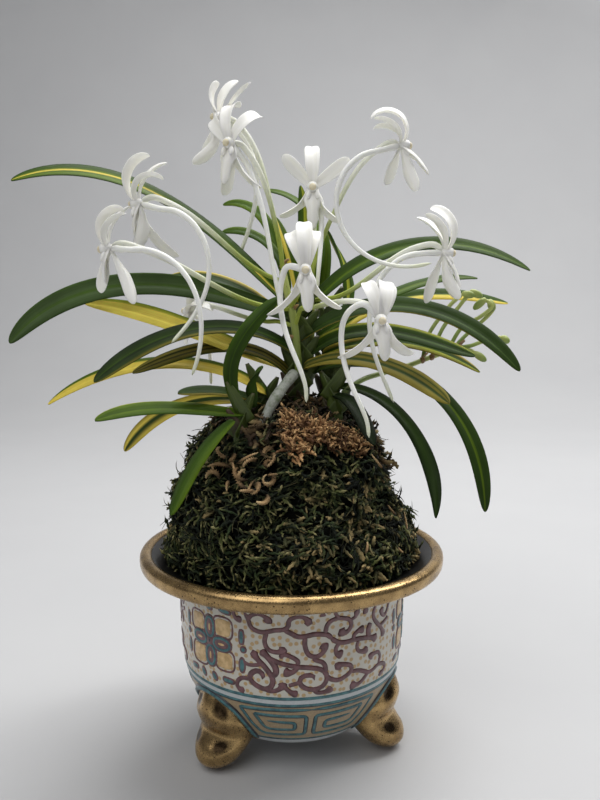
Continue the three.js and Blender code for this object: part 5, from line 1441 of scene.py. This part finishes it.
# Each bud's stalk, the way it points (azimuth and rise), and its half length.
BUDS = [
    ([(46.5, 12, 131.5), (49, 13, 141), (56, 14, 150.5), (61, 15, 155)], 0, -10, 2.4),
    ([(50, 13, 132.5), (53.5, 14, 142), (59.5, 15.5, 150), (64, 16, 155.8)], 0, -25, 2.6),
    ([(56, 15.6, 134.3), (61, 17, 142.5), (68.5, 18, 147), (72.3, 18, 150.5), (69.5, 18, 153)],
     180, -42, 3),
    ([(57.5, 16, 134.8), (64, 18, 141), (70, 19, 146), (73.2, 19, 150), (71.6, 19, 152.6)],
     0, -72, 2.4),
    ([(60.5, 16.9, 135.8), (65, 17, 136.4), (71, 17.5, 138.6), (76, 18, 139.4)], -10, -35, 1.9),
    ([(60.5, 16.9, 135.6), (62.5, 16.8, 135.2), (64.5, 16.6, 134.6), (66, 16.5, 133.8)],
     -10, -35, 2.9),
]
spray = [stem(SPRAY_ROUTE, SPRAY_RADIUS)]
for route, azimuth, rise, size in BUDS:
    tip = heading(azimuth, rise)
    spray.append(stem(route, BUD_STALK_RADIUS, 30, 10))
    spray.append(bead(np.array(route[-1]) + 0.8 * size * tip, tip, BUD_RADIUS, size))
    spray.append(bract(route[0], azimuth, 3.4))
    spray.append({**bead(route[0], tip, 1.3, 1.1), "finish": 1})
piece("bud_spray_young", spray, [pale_stem("young buds", (126, 150, 70), (184, 192, 110)), straw],
      "young_bud", "bud_spray")

# ---------- floor, light and camera ----------
# A pale seamless sweep below and behind, a broad soft light overhead and a little behind,
# a gentle fill from the front left, and a small light for the sweep. All in metres.
SWEEP_ROWS, SWEEP_COLUMNS, SWEEP_HALF_WIDTH = 60, 12, 2.2
# Distance behind the pot, and height, of places up the sweep.
SWEEP = [(-1.4, 0), (-0.4, 0), (0.4, 0), (0.78, 0.02), (1.02, 0.14), (1.14, 0.42), (1.18, 0.9),
         (1.18, 2.0)]
ROOM_LIGHT, ROOM_STRENGTH = (0.9, 0.93, 1.0, 1), 0.14
CAMERA_AT = (0.0029, -0.2727, 0.15235)
CAMERA_TILT = 82.95          # degrees up from looking straight down
CAMERA_LENS = 36             # mm, over a sensor of the same width

profile = smooth_line(SWEEP, SWEEP_ROWS)
wide = np.linspace(-SWEEP_HALF_WIDTH, SWEEP_HALF_WIDTH, SWEEP_COLUMNS)
points = np.stack(np.broadcast_arrays(wide[None], profile[:, :1], profile[:, 1:]), -1)
numbers = np.arange(SWEEP_ROWS * SWEEP_COLUMNS).reshape(SWEEP_ROWS, SWEEP_COLUMNS)
quads = np.stack([numbers[:-1, :-1], numbers[:-1, 1:], numbers[1:, 1:], numbers[1:, :-1]], -1)
mesh = bpy.data.meshes.new("backdrop")
mesh.from_pydata(points.reshape(-1, 3), [], quads.reshape(-1, 4).tolist())
mesh.shade_smooth()
backdrop = bpy.data.objects.new("backdrop", mesh)
bpy.context.scene.collection.objects.link(backdrop)
paper = finish("backdrop paper")
grain = noise(paper, place(paper), 0.01)
coat(paper, mix(paper, grain, (179, 179, 180), (186, 186, 186)), 0.75)
mesh.materials.append(paper)


def soft_light(name, at, aim, size, power):
    """A square soft box at a place, turned to face another place."""
    lamp = bpy.data.lights.new(name, "AREA")
    lamp.shape, lamp.size, lamp.energy = "SQUARE", size, power
    box = bpy.data.objects.new(name, lamp)
    box.location = at
    box.rotation_euler = (Vector(aim) - Vector(at)).to_track_quat("-Z", "Y").to_euler()
    bpy.context.scene.collection.objects.link(box)


soft_light("overhead", (0.22, 0.28, 0.98), (0, 0, 0.1), size=0.8, power=11.5)
soft_light("front fill", (-0.45, -0.65, 1.05), (-0.1, -0.1, 0), size=1.1, power=8.2)
soft_light("wall light", (1.0, 0.35, 1.1), (0.3, 1.18, 0.5), size=0.6, power=9)
world = bpy.data.worlds.new("room")
world.use_nodes = True
background = world.node_tree.nodes["Background"]
background.inputs["Color"].default_value = ROOM_LIGHT
background.inputs["Strength"].default_value = ROOM_STRENGTH
bpy.context.scene.world = world
bpy.context.scene.view_settings.view_transform = "Standard"

lens = bpy.data.cameras.new("camera")
lens.lens = lens.sensor_width = CAMERA_LENS
camera = bpy.data.objects.new("camera", lens)
camera.location = CAMERA_AT
camera.rotation_euler = (np.radians(CAMERA_TILT), 0, 0)
bpy.context.scene.collection.objects.link(camera)
bpy.context.scene.camera = camera
